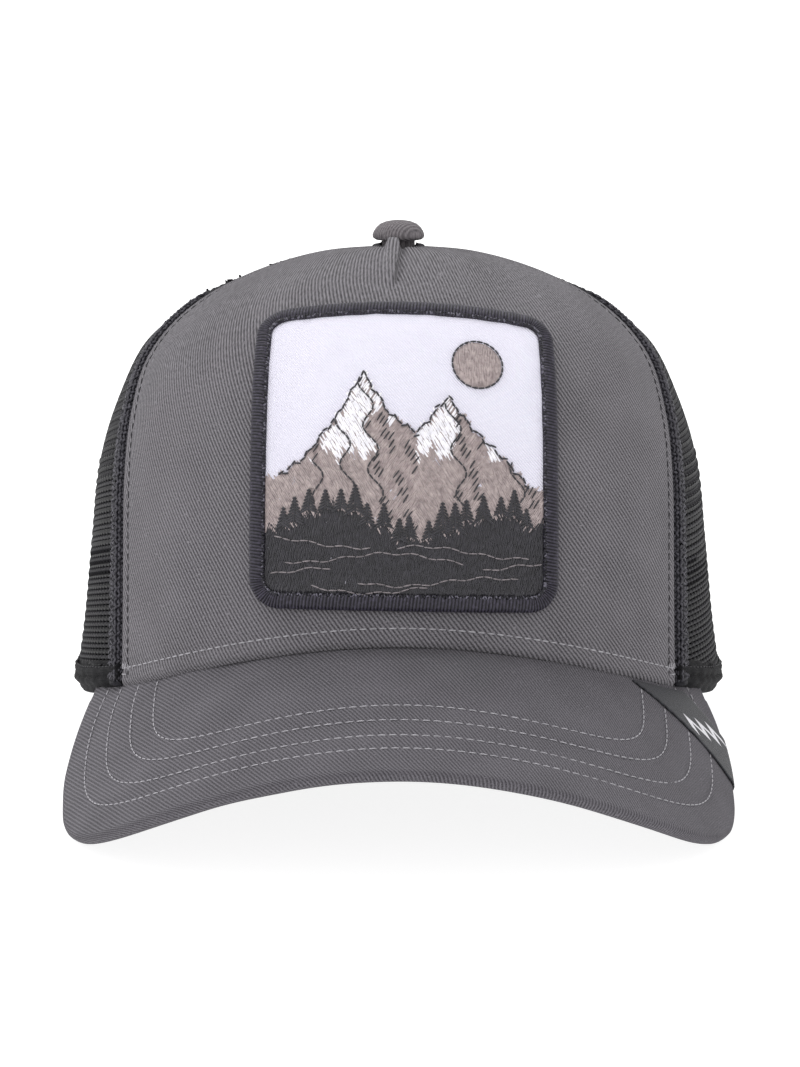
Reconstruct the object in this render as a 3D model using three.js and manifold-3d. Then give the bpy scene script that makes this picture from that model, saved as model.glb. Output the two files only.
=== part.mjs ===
import Module from 'manifold-3d';
import * as THREE from 'three';
import { mergeVertices } from 'three/addons/utils/BufferGeometryUtils.js';

const wasm = await Module();
wasm.setup();

// A five-panel trucker hat in millimetres: a cloth front panel, four net panels, a curved visor,
// a covered button, an embroidered patch and a plain snap strap across the arch at the back.
// It is drawn upright over its rim, with +X to the viewer's right and -Y to the front, then
// leaned back until the visor's two low corners and the back of the rim rest on the ground.

const DEGREE = Math.PI / 180;
const SEAM_GAP = 0.4;

// Crown: horizontal sections from the rim to the top. Each is a superellipse with its own reach to
// the front and back. The seam of the front panel lies seamForward in front of the middle.
const CROWN_SECTIONS = [
  { height: 0.0, halfWidth: 89.5, front: 101.0, back: 101.0, squareness: 2.1, seamForward: 58.0 },
  { height: 20.0, halfWidth: 86.9, front: 99.5, back: 101.0, squareness: 2.12, seamForward: 54.0 },
  { height: 42.0, halfWidth: 84.8, front: 97.0, back: 99.0, squareness: 2.16, seamForward: 50.3 },
  { height: 62.0, halfWidth: 82.5, front: 93.5, back: 94.0, squareness: 2.2, seamForward: 45.4 },
  { height: 80.0, halfWidth: 77.7, front: 88.5, back: 86.0, squareness: 2.2, seamForward: 36.0 },
  { height: 95.0, halfWidth: 70.2, front: 81.5, back: 75.0, squareness: 2.16, seamForward: 24.4 },
  { height: 107.0, halfWidth: 57.5, front: 71.0, back: 61.0, squareness: 2.1, seamForward: 15.2 },
  { height: 115.5, halfWidth: 40.5, front: 53.0, back: 43.0, squareness: 2.05, seamForward: 7.3 },
  { height: 120.8, halfWidth: 21.0, front: 27.0, back: 23.0, squareness: 2.0, seamForward: 1.2 },
  { height: 122.5, halfWidth: 0.0, front: 0.0, back: 0.0, squareness: 2.0, seamForward: 0.0 },
];
const FRONT_CLOTH = 2.0;
const NET_CLOTH = 1.2;
const SEAM_BAND = { width: 3.0, under: 1.2, proud: 0.6, fullWidthFrom: 20 };
const SIDE_SEAM_ANGLE = 128 * DEGREE;
const TOP_HOLE_RADIUS = 5.0;
const PANEL_ROWS = 13;
const SHARED_ROWS_FROM = 1.5;
const FIRST_ROW_LEAST = 0.35;

// Visor: a flat board bent round a cylinder of bendRadius that slopes down to the front. Its outline
// is a superellipse on the flat board, whose middle lies centreAhead of the cylinder's start.
const VISOR = {
  slope: 20 * DEGREE,
  bendRadius: 107,
  thickness: 3.5,
  halfWidth: 106,
  halfLength: 73.5,
  centreAhead: 75.5,
  squareness: 2.35,
  rimFront: 101,
  rimHeight: 22.8,
  endAngle: 68 * DEGREE,
  cornerAngle: 26 * DEGREE,
  tuckedTo: 20 * DEGREE,
  besideFrom: 55 * DEGREE,
  endTuck: 0.2,
};

// Rim: the hem folded up from the net, and the sweatband inside it.
const HEM = { thickness: 3.4, height: 8.0, proud: 0.8 };
const SWEATBAND = {
  thickness: 1.2,
  height: 30.0,
  inset: 3.0,
  dropAtVisor: 4.2,
  riseAtSides: 1.0,
  risesFrom: 62 * DEGREE,
  risenAt: 80 * DEGREE,
};

// Arch at the back, its binding, and the strap that closes it.
const ARCH = { halfWidth: 36, height: 42, squareness: 2.4, foot: 0.4 };
const BINDING = { width: 7.0, under: 1.6, proud: 0.6 };
const STRAP = { thickness: 1.4, inset: 2.2, bottom: 1.0, height: 18.0, endInset: 0.4 };
const STUD = { radius: 2.4, height: 1.0, count: 7, pitch: 9.5 };

// Button: a flat dome over the hole where the panels meet, with a rivet through it and a washer.
const BUTTON = { radius: 7.0, height: 6.2, foot: 1.2, neckRadius: 4.4, washerRadius: 6.6, washer: 1.2 };
const BUTTON_DOME = [
  { reach: 0.9, rise: 0.0 },
  { reach: 1.0, rise: 0.2 },
  { reach: 0.94, rise: 0.48 },
  { reach: 0.72, rise: 0.8 },
  { reach: 0.38, rise: 0.96 },
  { reach: 0.0, rise: 1.0 },
];

// Dart: the pinched fold down the top of the front panel.
const DART = { halfWidth: 1.9, proud: 1.35, sunk: 1.0, endLevel: 7.0, taper: 0.28, pointShare: 0.15 };

// Patch: a rounded square that follows the panel, with a thick overlocked border.
const PATCH = {
  halfWidth: 42,
  halfHeight: 42.6,
  corner: 8.5,
  groundCorner: 0.025,
  centreHeight: 74.8,
  offset: 1.2,
  border: 5.0,
  borderHeight: 3.0,
  ground: 1.2,
  gap: 0.35,
};

// Landscape stitched on the patch, in two rows of heights above the patch's middle.
const LANDSCAPE = [
  { across: -33, hills: -20, peaks: -7 },
  { across: -26, hills: -16, peaks: -2 },
  { across: -18, hills: -14, peaks: 8 },
  { across: -11, hills: -17, peaks: 20 },
  { across: -4, hills: -21, peaks: 9 },
  { across: 3, hills: -23, peaks: 4 },
  { across: 11, hills: -20, peaks: 14 },
  { across: 18, hills: -17, peaks: 5 },
  { across: 26, hills: -15, peaks: -2 },
  { across: 33, hills: -18, peaks: -9 },
];
const STITCHED = { thickness: 0.6, bottom: -34.5, gap: 0.45 };
const SUN = { across: 19, up: 23.5, radius: 6.5 };

// Tag: a woven ribbon from the crown seam over the visor's right edge.
const TAG = {
  startAcross: 61.3,
  startAhead: 68.0,
  turn: 15 * DEGREE,
  width: 23.5,
  cloth: 0.6,
  lap: 9.0,
  gap: 0.35,
  clearOfCrown: 1.3,
};

const CLOTH = { color: 0x6b696e, roughness: 0.9, metalness: 0 };
const NET = { color: 0x2b2a2e, roughness: 0.85, metalness: 0 };
const BLACK_CLOTH = { color: 0x232226, roughness: 0.8, metalness: 0 };
const RIBBON = { color: 0x2e2d32, roughness: 0.6, metalness: 0 };
const THREAD_WHITE = { color: 0xebe8f2, roughness: 0.7, metalness: 0 };
const THREAD_TAUPE = { color: 0x9c8f90, roughness: 0.6, metalness: 0 };
const PLASTIC = { color: 0x1d1d20, roughness: 0.45, metalness: 0 };

const { lerp, clamp, smoothstep } = THREE.MathUtils;

function signedPower(value, power) {
  return Math.sign(value) * Math.abs(value) ** power;
}

// Sections of the crown between the rows of its table, by Catmull-Rom curves.
const TOP_LEVEL = CROWN_SECTIONS.length - 1;
const COLUMNS = Object.keys(CROWN_SECTIONS[0]);

function columnBeyondTop(column) {
  const top = CROWN_SECTIONS[TOP_LEVEL][column];
  const below = CROWN_SECTIONS[TOP_LEVEL - 1][column];
  if (column === 'height') return 2 * top - below;
  return column === 'squareness' ? top : -below;
}

function section(level) {
  const inside = clamp(level, 0, TOP_LEVEL - 1e-9);
  const row = Math.floor(inside);
  const t = inside - row;
  const result = {};
  for (const column of COLUMNS) {
    const start = CROWN_SECTIONS[row][column];
    const end = CROWN_SECTIONS[row + 1][column];
    const before = row > 0 ? CROWN_SECTIONS[row - 1][column] : 2 * start - end;
    const after = row + 2 > TOP_LEVEL ? columnBeyondTop(column) : CROWN_SECTIONS[row + 2][column];
    const bend = 2 * before - 5 * start + 4 * end - after;
    const twist = 3 * start - before - 3 * end + after;
    result[column] = start + 0.5 * t * (end - before + t * (bend + t * twist));
  }
  return result;
}

// The lowest level between low and high where the test holds.
function firstLevel(holds, low = 0, high = TOP_LEVEL) {
  let below = low;
  let above = high;
  for (let i = 0; i < 36; i += 1) {
    const middle = (below + above) / 2;
    if (holds(middle)) above = middle;
    else below = middle;
  }
  return above;
}

function levelAt(height) {
  return firstLevel((level) => section(level).height >= height);
}

// The crown's outer skin: angle 0 is the front, a right angle the right side, a half turn the back.
function skin(angle, level) {
  const { height, halfWidth, front, back, squareness } = section(level);
  const reach = Math.cos(angle) > 0 ? front : back;
  return new THREE.Vector3(
    halfWidth * signedPower(Math.sin(angle), 2 / squareness),
    -reach * signedPower(Math.cos(angle), 2 / squareness),
    height,
  );
}

function crown(angle, level, lift) {
  const step = 0.004;
  const sideways = skin(angle + step, level).sub(skin(angle - step, level));
  const upwards = skin(angle, Math.min(level + step, TOP_LEVEL)).sub(skin(angle, level - step));
  const outward = sideways.cross(upwards).normalize();
  return skin(angle, level).addScaledVector(outward, lift);
}

// Turn of angle that moves a point along the skin by a distance.
function turnFor(distance, angle, level) {
  const step = 0.004;
  return (distance * step) / skin(angle + step, level).distanceTo(skin(angle, level));
}

function seamAngle(level) {
  const { front, squareness, seamForward } = section(level);
  return Math.acos(clamp(seamForward / front, 0, 1) ** (squareness / 2));
}

function bandWidth(level) {
  return SEAM_BAND.width * Math.min(1, section(level).halfWidth / SEAM_BAND.fullWidthFrom);
}

function angleBehindSeam(level, distance) {
  const angle = seamAngle(level);
  return angle + turnFor(distance, angle, level);
}

function netFrontAngle(level) {
  return angleBehindSeam(level, bandWidth(level) + 2 * SEAM_GAP);
}

// A point of the back at a place across and a height.
function backAngle(across, level) {
  const { halfWidth, squareness } = section(level);
  return Math.PI - Math.sign(across) * Math.asin(Math.abs(across / halfWidth) ** (squareness / 2));
}

// A point of the front at a place across and a height.
function front(across, height, lift) {
  const level = levelAt(height);
  const { halfWidth, squareness } = section(level);
  const angle = Math.sign(across) * Math.asin(Math.abs(across / halfWidth) ** (squareness / 2));
  return crown(angle, level, lift);
}

// Visor surface: across and ahead are measured on the flat board.
const VISOR_RISE = VISOR.rimFront * Math.sin(VISOR.slope) + VISOR.rimHeight * Math.cos(VISOR.slope);

function boardRise(bend) {
  return VISOR_RISE - VISOR.bendRadius * (1 - Math.cos(bend));
}

function visor(across, ahead, lift) {
  const bend = across / VISOR.bendRadius;
  const rise = boardRise(bend) + lift * Math.cos(bend);
  const x = VISOR.bendRadius * Math.sin(bend) + lift * Math.sin(bend);
  const forward = ahead * Math.cos(VISOR.slope) + rise * Math.sin(VISOR.slope);
  const height = rise * Math.cos(VISOR.slope) - ahead * Math.sin(VISOR.slope);
  return new THREE.Vector3(x, -forward, height);
}

// The place on the flat board, at a lift, above or below a point of the crown.
function boardPlace(point, lift = 0) {
  const bend = Math.asin(point.x / (VISOR.bendRadius + lift));
  const rise = boardRise(bend) + lift * Math.cos(bend);
  const ahead = (-point.y - rise * Math.sin(VISOR.slope)) / Math.cos(VISOR.slope);
  return { across: VISOR.bendRadius * bend, ahead };
}

function visorHeightAt(point) {
  const { across, ahead } = boardPlace(point);
  return visor(across, ahead, 0).z;
}

// Height of the rim: on the visor in front, then down to the ground plane at the sides.
function rimOnVisor(angle) {
  const level = firstLevel((tried) => {
    const point = skin(angle, tried);
    return point.z >= visorHeightAt(point);
  });
  return section(level).height;
}

const RIM_AT_VISOR_END = rimOnVisor(VISOR.endAngle);

function rimHeight(angle) {
  if (Math.abs(angle) < VISOR.endAngle) return rimOnVisor(angle);
  const fall = Math.max(0, Math.cos(angle)) / Math.cos(VISOR.endAngle);
  return RIM_AT_VISOR_END * fall ** 2;
}

// Solids: a divided box or cylinder whose points are moved onto their place.
function warped(geometry, place) {
  geometry.deleteAttribute('normal');
  geometry.deleteAttribute('uv');
  const merged = mergeVertices(geometry);
  const position = merged.getAttribute('position');
  const point = new THREE.Vector3();
  for (let i = 0; i < position.count; i += 1) {
    point.fromBufferAttribute(position, i);
    const { x, y, z } = place(point);
    position.setXYZ(i, x, y, z);
  }
  return facingOut(merged);
}

function facingOut(geometry) {
  const index = geometry.index;
  const position = geometry.getAttribute('position');
  const corner = [0, 1, 2].map(() => new THREE.Vector3());
  let volume = 0;
  for (let i = 0; i < index.count; i += 3) {
    corner.forEach((vector, k) => vector.fromBufferAttribute(position, index.getX(i + k)));
    volume += corner[0].dot(corner[1].cross(corner[2]));
  }
  if (volume < 0) index.array.reverse();
  return geometry;
}

// place takes two shares of the way over the sheet and the share of the way through it.
function sheet(columns, rows, place, layers = 1) {
  const box = new THREE.BoxGeometry(1, 1, 1, columns, rows, layers);
  return warped(box, ({ x, y, z }) => place(x + 0.5, y + 0.5, z + 0.5));
}

function solid(geometry) {
  const bare = new THREE.BufferGeometry();
  bare.setAttribute('position', geometry.getAttribute('position'));
  bare.setIndex(geometry.index);
  const merged = mergeVertices(bare);
  const vertProperties = new Float32Array(merged.getAttribute('position').array);
  const triVerts = new Uint32Array(merged.index.array);
  return new wasm.Manifold(new wasm.Mesh({ numProp: 3, vertProperties, triVerts }));
}

function joined(geometries) {
  const whole = geometries.map(solid).reduce((sum, next) => sum.add(next));
  const { vertProperties, triVerts } = whole.getMesh();
  const geometry = new THREE.BufferGeometry();
  geometry.setAttribute('position', new THREE.BufferAttribute(vertProperties, 3));
  geometry.setIndex(new THREE.BufferAttribute(triVerts, 1));
  return geometry;
}

const hat = new THREE.Group();

function addPiece(name, geometry, look) {
  const mesh = new THREE.Mesh(geometry, new THREE.MeshStandardMaterial(look));
  mesh.name = name;
  hat.add(mesh);
}

// Front panel, from seam to seam, with the pinched dart under the button.
const HOLE_LEVEL = firstLevel((level) => section(level).halfWidth <= TOP_HOLE_RADIUS);

// Above their first row all panels share their levels, so that neighbours keep their gap.
function panelLevel(bottom, v) {
  if (v === 0) return bottom;
  const start = Math.max(SHARED_ROWS_FROM, bottom + FIRST_ROW_LEAST);
  return lerp(start, HOLE_LEVEL, (v * PANEL_ROWS - 1) / (PANEL_ROWS - 1));
}

// The cloth's lower edge is cut to the slope of the visor under it.
function frontPanelBottom(share, lift) {
  return firstLevel((level) => {
    const point = crown(share * seamAngle(level), level, lift);
    return point.z >= visorHeightAt(point) + SEAM_GAP;
  });
}

function frontPanel() {
  const cloth = sheet(28, PANEL_ROWS, (u, v, w) => {
    const share = 2 * u - 1;
    const lift = lerp(-FRONT_CLOTH, 0, w);
    const level = panelLevel(frontPanelBottom(share, lift), v);
    return crown(share * seamAngle(level), level, lift);
  });
  const dart = sheet(2, 6, (u, v, w) => {
    const share = 2 * u - 1;
    const level = lerp(DART.endLevel, HOLE_LEVEL, v);
    const grown = Math.min(1, DART.pointShare + v / DART.taper);
    const ridge = DART.proud * grown * (1 - Math.abs(share));
    return crown(share * turnFor(DART.halfWidth * grown, 0, level), level, lerp(-DART.sunk, ridge, w));
  });
  return joined([cloth, dart]);
}

addPiece('front_panel', frontPanel(), CLOTH);

// Seam bands: the doubled black edge of the net that shows beside the front panel.
function seamBand(side) {
  return sheet(1, PANEL_ROWS, (u, v, w) => {
    const lift = lerp(-SEAM_BAND.under, SEAM_BAND.proud, w);
    const level = panelLevel(frontPanelBottom(1, lift), v);
    const angle = angleBehindSeam(level, SEAM_GAP + u * bandWidth(level));
    return crown(side * angle, level, lift);
  });
}

// Net panels, down to the hem and round the arch.
const archNet = {
  halfWidth: ARCH.halfWidth + BINDING.width + SEAM_GAP,
  height: ARCH.height + BINDING.width + SEAM_GAP,
};

function netBottom(angle) {
  const hemTop = rimHeight(angle) + 2 * SEAM_GAP + HEM.height;
  return firstLevel((level) => {
    const point = skin(angle, level);
    if (point.z < hemTop) return false;
    if (Math.cos(angle) > 0) return true;
    const across = Math.abs(point.x / archNet.halfWidth) ** ARCH.squareness;
    return across + (Math.max(0, point.z - ARCH.foot) / archNet.height) ** ARCH.squareness >= 1;
  });
}

function netPanel(side, columns, angleAt) {
  return sheet(columns, PANEL_ROWS, (u, v, w) => {
    const level = panelLevel(netBottom(angleAt(u, 0)), v);
    return crown(side * angleAt(u, level), level, lerp(-NET_CLOTH, 0, w));
  });
}

function sideNetAngle(u, level) {
  const end = SIDE_SEAM_ANGLE - turnFor(SEAM_GAP / 2, SIDE_SEAM_ANGLE, level);
  return lerp(netFrontAngle(level), end, u);
}

// The back panel's columns crowd round the foot of the arch, where its edge is steep.
const ARCH_FOOT_SHARE = 0.4;

function backNetShare(u) {
  const foot = (backAngle(archNet.halfWidth, 0) - SIDE_SEAM_ANGLE) / (Math.PI - SIDE_SEAM_ANGLE);
  if (u <= ARCH_FOOT_SHARE) return (foot * u) / ARCH_FOOT_SHARE;
  const round = ((u - ARCH_FOOT_SHARE) / (1 - ARCH_FOOT_SHARE)) * (Math.PI / 2);
  return foot + (1 - foot) * (1 - Math.cos(round));
}

function backNetAngle(u, level) {
  const start = SIDE_SEAM_ANGLE + turnFor(SEAM_GAP / 2, SIDE_SEAM_ANGLE, level);
  const end = Math.PI - turnFor(SEAM_GAP / 2, Math.PI, level);
  return lerp(start, end, backNetShare(u));
}

// Hem: the rolled edge of the net, from the front seam to the arch.
function hem(side) {
  const tube = new THREE.CylinderGeometry(1, 1, 1, 8, 16);
  tube.rotateY(Math.PI / 8);
  return warped(tube, ({ x, y, z }) => {
    const share = y + 0.5;
    const rough = lerp(netFrontAngle(0), backAngle(archNet.halfWidth + SEAM_GAP, 0), share);
    const bottom = rimHeight(rough) + SEAM_GAP;
    const level = levelAt(bottom + (HEM.height * (1 + z)) / 2);
    const angle = lerp(netFrontAngle(level), backAngle(archNet.halfWidth + SEAM_GAP, level), share);
    return crown(side * angle, level, HEM.proud + (HEM.thickness * (x - 1)) / 2);
  });
}

for (const [name, side] of [['left', -1], ['right', 1]]) {
  addPiece(`seam_band_${name}`, seamBand(side), NET);
  addPiece(`side_net_${name}`, netPanel(side, 11, sideNetAngle), NET);
  addPiece(`back_net_${name}`, netPanel(side, 12, backNetAngle), NET);
  addPiece(`rim_hem_${name}`, hem(side), BLACK_CLOTH);
}

// Binding: a tape folded over the edge of the arch.
function archBinding() {
  return sheet(24, 1, (u, v, w) => {
    const turn = Math.PI * u;
    const power = 2 / ARCH.squareness;
    const across = (ARCH.halfWidth + BINDING.width * v) * signedPower(Math.cos(turn), power);
    const rise = (ARCH.height + BINDING.width * v) * signedPower(Math.sin(turn), power);
    const level = levelAt(ARCH.foot + Math.max(0, rise));
    return crown(backAngle(across, level), level, lerp(-BINDING.under, BINDING.proud, w));
  });
}

addPiece('arch_binding', archBinding(), BLACK_CLOTH);

// Snap strap: one plain band with the heads of its studs.
function strapPlace(across, height, lift) {
  const level = levelAt(height);
  return crown(backAngle(across, level), level, lift);
}

function snapStrap() {
  const reach = archNet.halfWidth - STRAP.endInset;
  const band = sheet(14, 1, (u, v, w) => {
    const lift = -STRAP.inset - STRAP.thickness * (1 - w);
    return strapPlace(lerp(-reach, reach, u), STRAP.bottom + STRAP.height * v, lift);
  });
  const pieces = [band];
  for (let i = 0; i < STUD.count; i += 1) {
    const across = (i - (STUD.count - 1) / 2) * STUD.pitch;
    const stud = new THREE.CylinderGeometry(STUD.radius, STUD.radius, 1, 8);
    const middle = STRAP.bottom + STRAP.height / 2;
    pieces.push(warped(stud, ({ x, y, z }) => {
      const lift = -STRAP.inset - STRAP.thickness / 2 + (y + 0.5) * (STRAP.thickness / 2 + STUD.height);
      return strapPlace(across + x, middle + z, lift);
    }));
  }
  return joined(pieces);
}

addPiece('snap_strap', snapStrap(), PLASTIC);

// Sweatband: a plain band inside the rim, from one side of the arch round the front to the other.
function sweatband() {
  return sheet(48, 2, (u, v, w) => {
    const end = backAngle(archNet.halfWidth + SEAM_GAP, 1);
    const angle = lerp(-end, end, u);
    const beside = smoothstep(Math.abs(angle), SWEATBAND.risesFrom, SWEATBAND.risenAt);
    const offset = lerp(-SWEATBAND.dropAtVisor, SWEATBAND.riseAtSides, beside);
    const bottom = Math.max(0, rimHeight(angle) + offset);
    const level = levelAt(bottom + SWEATBAND.height * v);
    return crown(angle, level, -SWEATBAND.inset - SWEATBAND.thickness * (1 - w));
  });
}

addPiece('sweatband', sweatband(), BLACK_CLOTH);

// Visor board, out to its edge from under the crown's wall in front and beside it at the ends.
function visorInner(share, lift) {
  const angle = (2 * share - 1) * VISOR.endAngle;
  const beside = smoothstep(Math.abs(angle), VISOR.tuckedTo, VISOR.besideFrom);
  const tuck = lerp(FRONT_CLOTH + SEAM_GAP, VISOR.endTuck, beside);
  return boardPlace(crown(angle, levelAt(rimHeight(angle)), -tuck), lift);
}

function visorOuter(share) {
  const turn = lerp(Math.PI + VISOR.cornerAngle, -VISOR.cornerAngle, share);
  return {
    across: VISOR.halfWidth * signedPower(Math.cos(turn), 2 / VISOR.squareness),
    ahead: VISOR.centreAhead + VISOR.halfLength * signedPower(Math.sin(turn), 2 / VISOR.squareness),
  };
}

function visorBoard() {
  return sheet(44, 6, (u, v, w) => {
    const lift = -VISOR.thickness * (1 - w);
    const inner = visorInner(u, lift);
    const outer = visorOuter(u);
    const across = lerp(inner.across, outer.across, v);
    return visor(across, lerp(inner.ahead, outer.ahead, v), lift);
  });
}

addPiece('visor', visorBoard(), CLOTH);

// Ribbon tag: over the visor from the crown seam, round its edge and a little way under it.
function tagPlace(along, width) {
  return {
    across: TAG.startAcross + along * Math.cos(TAG.turn) + width * Math.sin(TAG.turn),
    ahead: TAG.startAhead + along * Math.sin(TAG.turn) - width * Math.cos(TAG.turn),
  };
}

function clearOfCrown(along, width) {
  const { across, ahead } = tagPlace(along, width);
  const point = visor(across, ahead, 0);
  const { halfWidth, front: reach, squareness } = section(levelAt(point.z));
  const sideways = Math.abs(point.x / (halfWidth + TAG.clearOfCrown)) ** squareness;
  return sideways + Math.abs(point.y / (reach + TAG.clearOfCrown)) ** squareness >= 1;
}

function pastVisorEdge(along, width) {
  const { across, ahead } = tagPlace(along, width);
  const sideways = Math.abs(across / VISOR.halfWidth) ** VISOR.squareness;
  return sideways + Math.abs((ahead - VISOR.centreAhead) / VISOR.halfLength) ** VISOR.squareness >= 1;
}

function ribbonTag() {
  const topRows = 6;
  return sheet(4, topRows + 2, (u, v, w) => {
    const width = TAG.width * u;
    const start = firstLevel((along) => clearOfCrown(along, width), 0, 40);
    const edge = firstLevel((along) => pastVisorEdge(along, width), start, 60);
    const off = TAG.gap + TAG.cloth * w;
    const row = Math.round(v * (topRows + 2));
    let along = lerp(start, edge + off, Math.min(1, row / topRows));
    if (row === topRows + 2) along = edge - TAG.lap;
    const { across, ahead } = tagPlace(along, width);
    return visor(across, ahead, row <= topRows ? off : -VISOR.thickness - off);
  });
}

addPiece('visor_tag', ribbonTag(), RIBBON);

// Button with its rivet and washer.
function topButton() {
  const top = section(TOP_LEVEL).height + SEAM_GAP;
  const under = section(HOLE_LEVEL).height - FRONT_CLOTH - DART.sunk - SEAM_GAP;
  const domeFoot = top + BUTTON.foot;
  const profile = [
    new THREE.Vector2(0, under - BUTTON.washer),
    new THREE.Vector2(BUTTON.washerRadius, under - BUTTON.washer),
    new THREE.Vector2(BUTTON.washerRadius, under),
    new THREE.Vector2(BUTTON.neckRadius, under),
    new THREE.Vector2(BUTTON.neckRadius, domeFoot),
  ];
  for (const { reach, rise } of BUTTON_DOME) {
    profile.push(new THREE.Vector2(BUTTON.radius * reach, lerp(domeFoot, top + BUTTON.height, rise)));
  }
  const lathe = new THREE.LatheGeometry(profile, 20);
  lathe.rotateX(Math.PI / 2);
  return warped(lathe, (point) => point);
}

addPiece('top_button', topButton(), CLOTH);

// Patch: places on it are walked over the panel from its middle, so that its size is true.
function walk(pointAt, start, distance) {
  const steps = 12;
  const half = 0.5;
  let place = start;
  for (let i = 0; i < steps; i += 1) {
    place += distance / steps / pointAt(place + half).distanceTo(pointAt(place - half));
  }
  return place;
}

function patch(across, up, lift) {
  const x = walk((place) => front(place, PATCH.centreHeight, 0), PATCH.offset, across);
  const height = walk((place) => front(x, place, 0), PATCH.centreHeight, up);
  return front(x, height, lift);
}

// The border's outline, numbered by eight steps along each side and four round each corner.
const SIDE_STEPS = 8;
const CORNER_STEPS = 4;
const OUTLINE_STEPS = 4 * (SIDE_STEPS + CORNER_STEPS);

function patchOutline(step, inset) {
  const side = Math.floor(step / (SIDE_STEPS + CORNER_STEPS));
  const along = step % (SIDE_STEPS + CORNER_STEPS);
  const flatWidth = PATCH.halfWidth - PATCH.corner;
  const flatHeight = PATCH.halfHeight - PATCH.corner;
  const corner = PATCH.corner - inset;
  const onSide = Math.min(1, along / SIDE_STEPS);
  const turn = (side + Math.max(0, along - SIDE_STEPS) / CORNER_STEPS) * (Math.PI / 2);
  const centres = [[1, -1, 0, 1], [1, 1, -1, 0], [-1, 1, 0, -1], [-1, -1, 1, 0]];
  const [cx, cy, runX, runY] = centres[side];
  const x = (cx + 2 * runX * onSide) * flatWidth;
  const y = (cy + 2 * runY * onSide) * flatHeight;
  return { across: x + corner * Math.cos(turn), up: y + corner * Math.sin(turn) };
}

function patchBorder() {
  const ringRadius = 3;
  const ring = new THREE.TorusGeometry(ringRadius, 1, 8, OUTLINE_STEPS);
  return warped(ring, ({ x, y, z }) => {
    const turn = (Math.atan2(y, x) + 2 * Math.PI) / (2 * Math.PI);
    const step = Math.round(turn * OUTLINE_STEPS) % OUTLINE_STEPS;
    const out = Math.hypot(x, y) - ringRadius;
    const { across, up } = patchOutline(step, (PATCH.border * (1 - out)) / 2);
    return patch(across, up, PATCH.gap + (PATCH.borderHeight * (1 + z)) / 2);
  });
}

function patchGround() {
  const edge = PATCH.border + PATCH.gap;
  const halfWidth = PATCH.halfWidth - edge;
  const halfHeight = PATCH.halfHeight - edge;
  return sheet(10, 10, (u, v, w) => {
    const x = 2 * u - 1;
    const y = 2 * v - 1;
    const pull = 1 - PATCH.groundCorner * Math.abs(x * y) ** 6;
    return patch(x * halfWidth * pull, y * halfHeight * pull, PATCH.gap + PATCH.ground * w);
  });
}

addPiece('patch_border', patchBorder(), BLACK_CLOTH);
addPiece('patch_ground', patchGround(), THREAD_WHITE);

// Stitched landscape: low hills in front of a row of peaks, under a round sun.
const STITCHED_LIFT = PATCH.gap + PATCH.ground + STITCHED.gap;

function landscapeRow(share) {
  const place = share * (LANDSCAPE.length - 1);
  const left = LANDSCAPE[Math.floor(place)];
  const right = LANDSCAPE[Math.ceil(place)];
  const between = place - Math.floor(place);
  return {
    across: lerp(left.across, right.across, between),
    hills: lerp(left.hills, right.hills, between),
    peaks: lerp(left.peaks, right.peaks, between),
  };
}

function stitchedField(rows, edges) {
  return sheet(LANDSCAPE.length - 1, rows, (u, v, w) => {
    const row = landscapeRow(u);
    const [bottom, top] = edges(row);
    return patch(row.across, lerp(bottom, top, v), STITCHED_LIFT + STITCHED.thickness * w);
  });
}

function stitchedSun() {
  const disc = new THREE.CylinderGeometry(SUN.radius, SUN.radius, 1, 16);
  return warped(disc, ({ x, y, z }) => (
    patch(SUN.across + x, SUN.up + z, STITCHED_LIFT + STITCHED.thickness * (y + 0.5))
  ));
}

addPiece('patch_hills', stitchedField(3, (row) => [STITCHED.bottom, row.hills]), BLACK_CLOTH);
addPiece('patch_peaks', stitchedField(7, (row) => [row.hills + STITCHED.gap, row.peaks]), THREAD_TAUPE);
addPiece('patch_sun', stitchedSun(), THREAD_TAUPE);

// Rest: lean the hat back until its front and back touch the ground together, and centre it.
function lowestPoint(lean, chosen) {
  const turned = new THREE.Vector3();
  let lowest = Infinity;
  for (const mesh of hat.children) {
    const position = mesh.geometry.getAttribute('position');
    for (let i = 0; i < position.count; i += 1) {
      turned.fromBufferAttribute(position, i);
      if (!chosen(turned)) continue;
      turned.applyAxisAngle(new THREE.Vector3(1, 0, 0), -lean);
      lowest = Math.min(lowest, turned.z);
    }
  }
  return lowest;
}

const inFront = (point) => point.y < 0;
const behind = (point) => point.y >= 0;
const lean = firstLevel((angle) => lowestPoint(angle, inFront) >= lowestPoint(angle, behind), 0, 0.3);
hat.rotation.x = -lean;
hat.updateMatrixWorld(true);
const box = new THREE.Box3().setFromObject(hat, true);
const middle = box.getCenter(new THREE.Vector3());
hat.position.set(-middle.x, -middle.y, -box.min.z);

const truckerHat = new THREE.Group();
truckerHat.add(hat);

export default truckerHat;
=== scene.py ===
import math

import bmesh
import bpy
import numpy as np
from mathutils import Matrix, Vector


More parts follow.
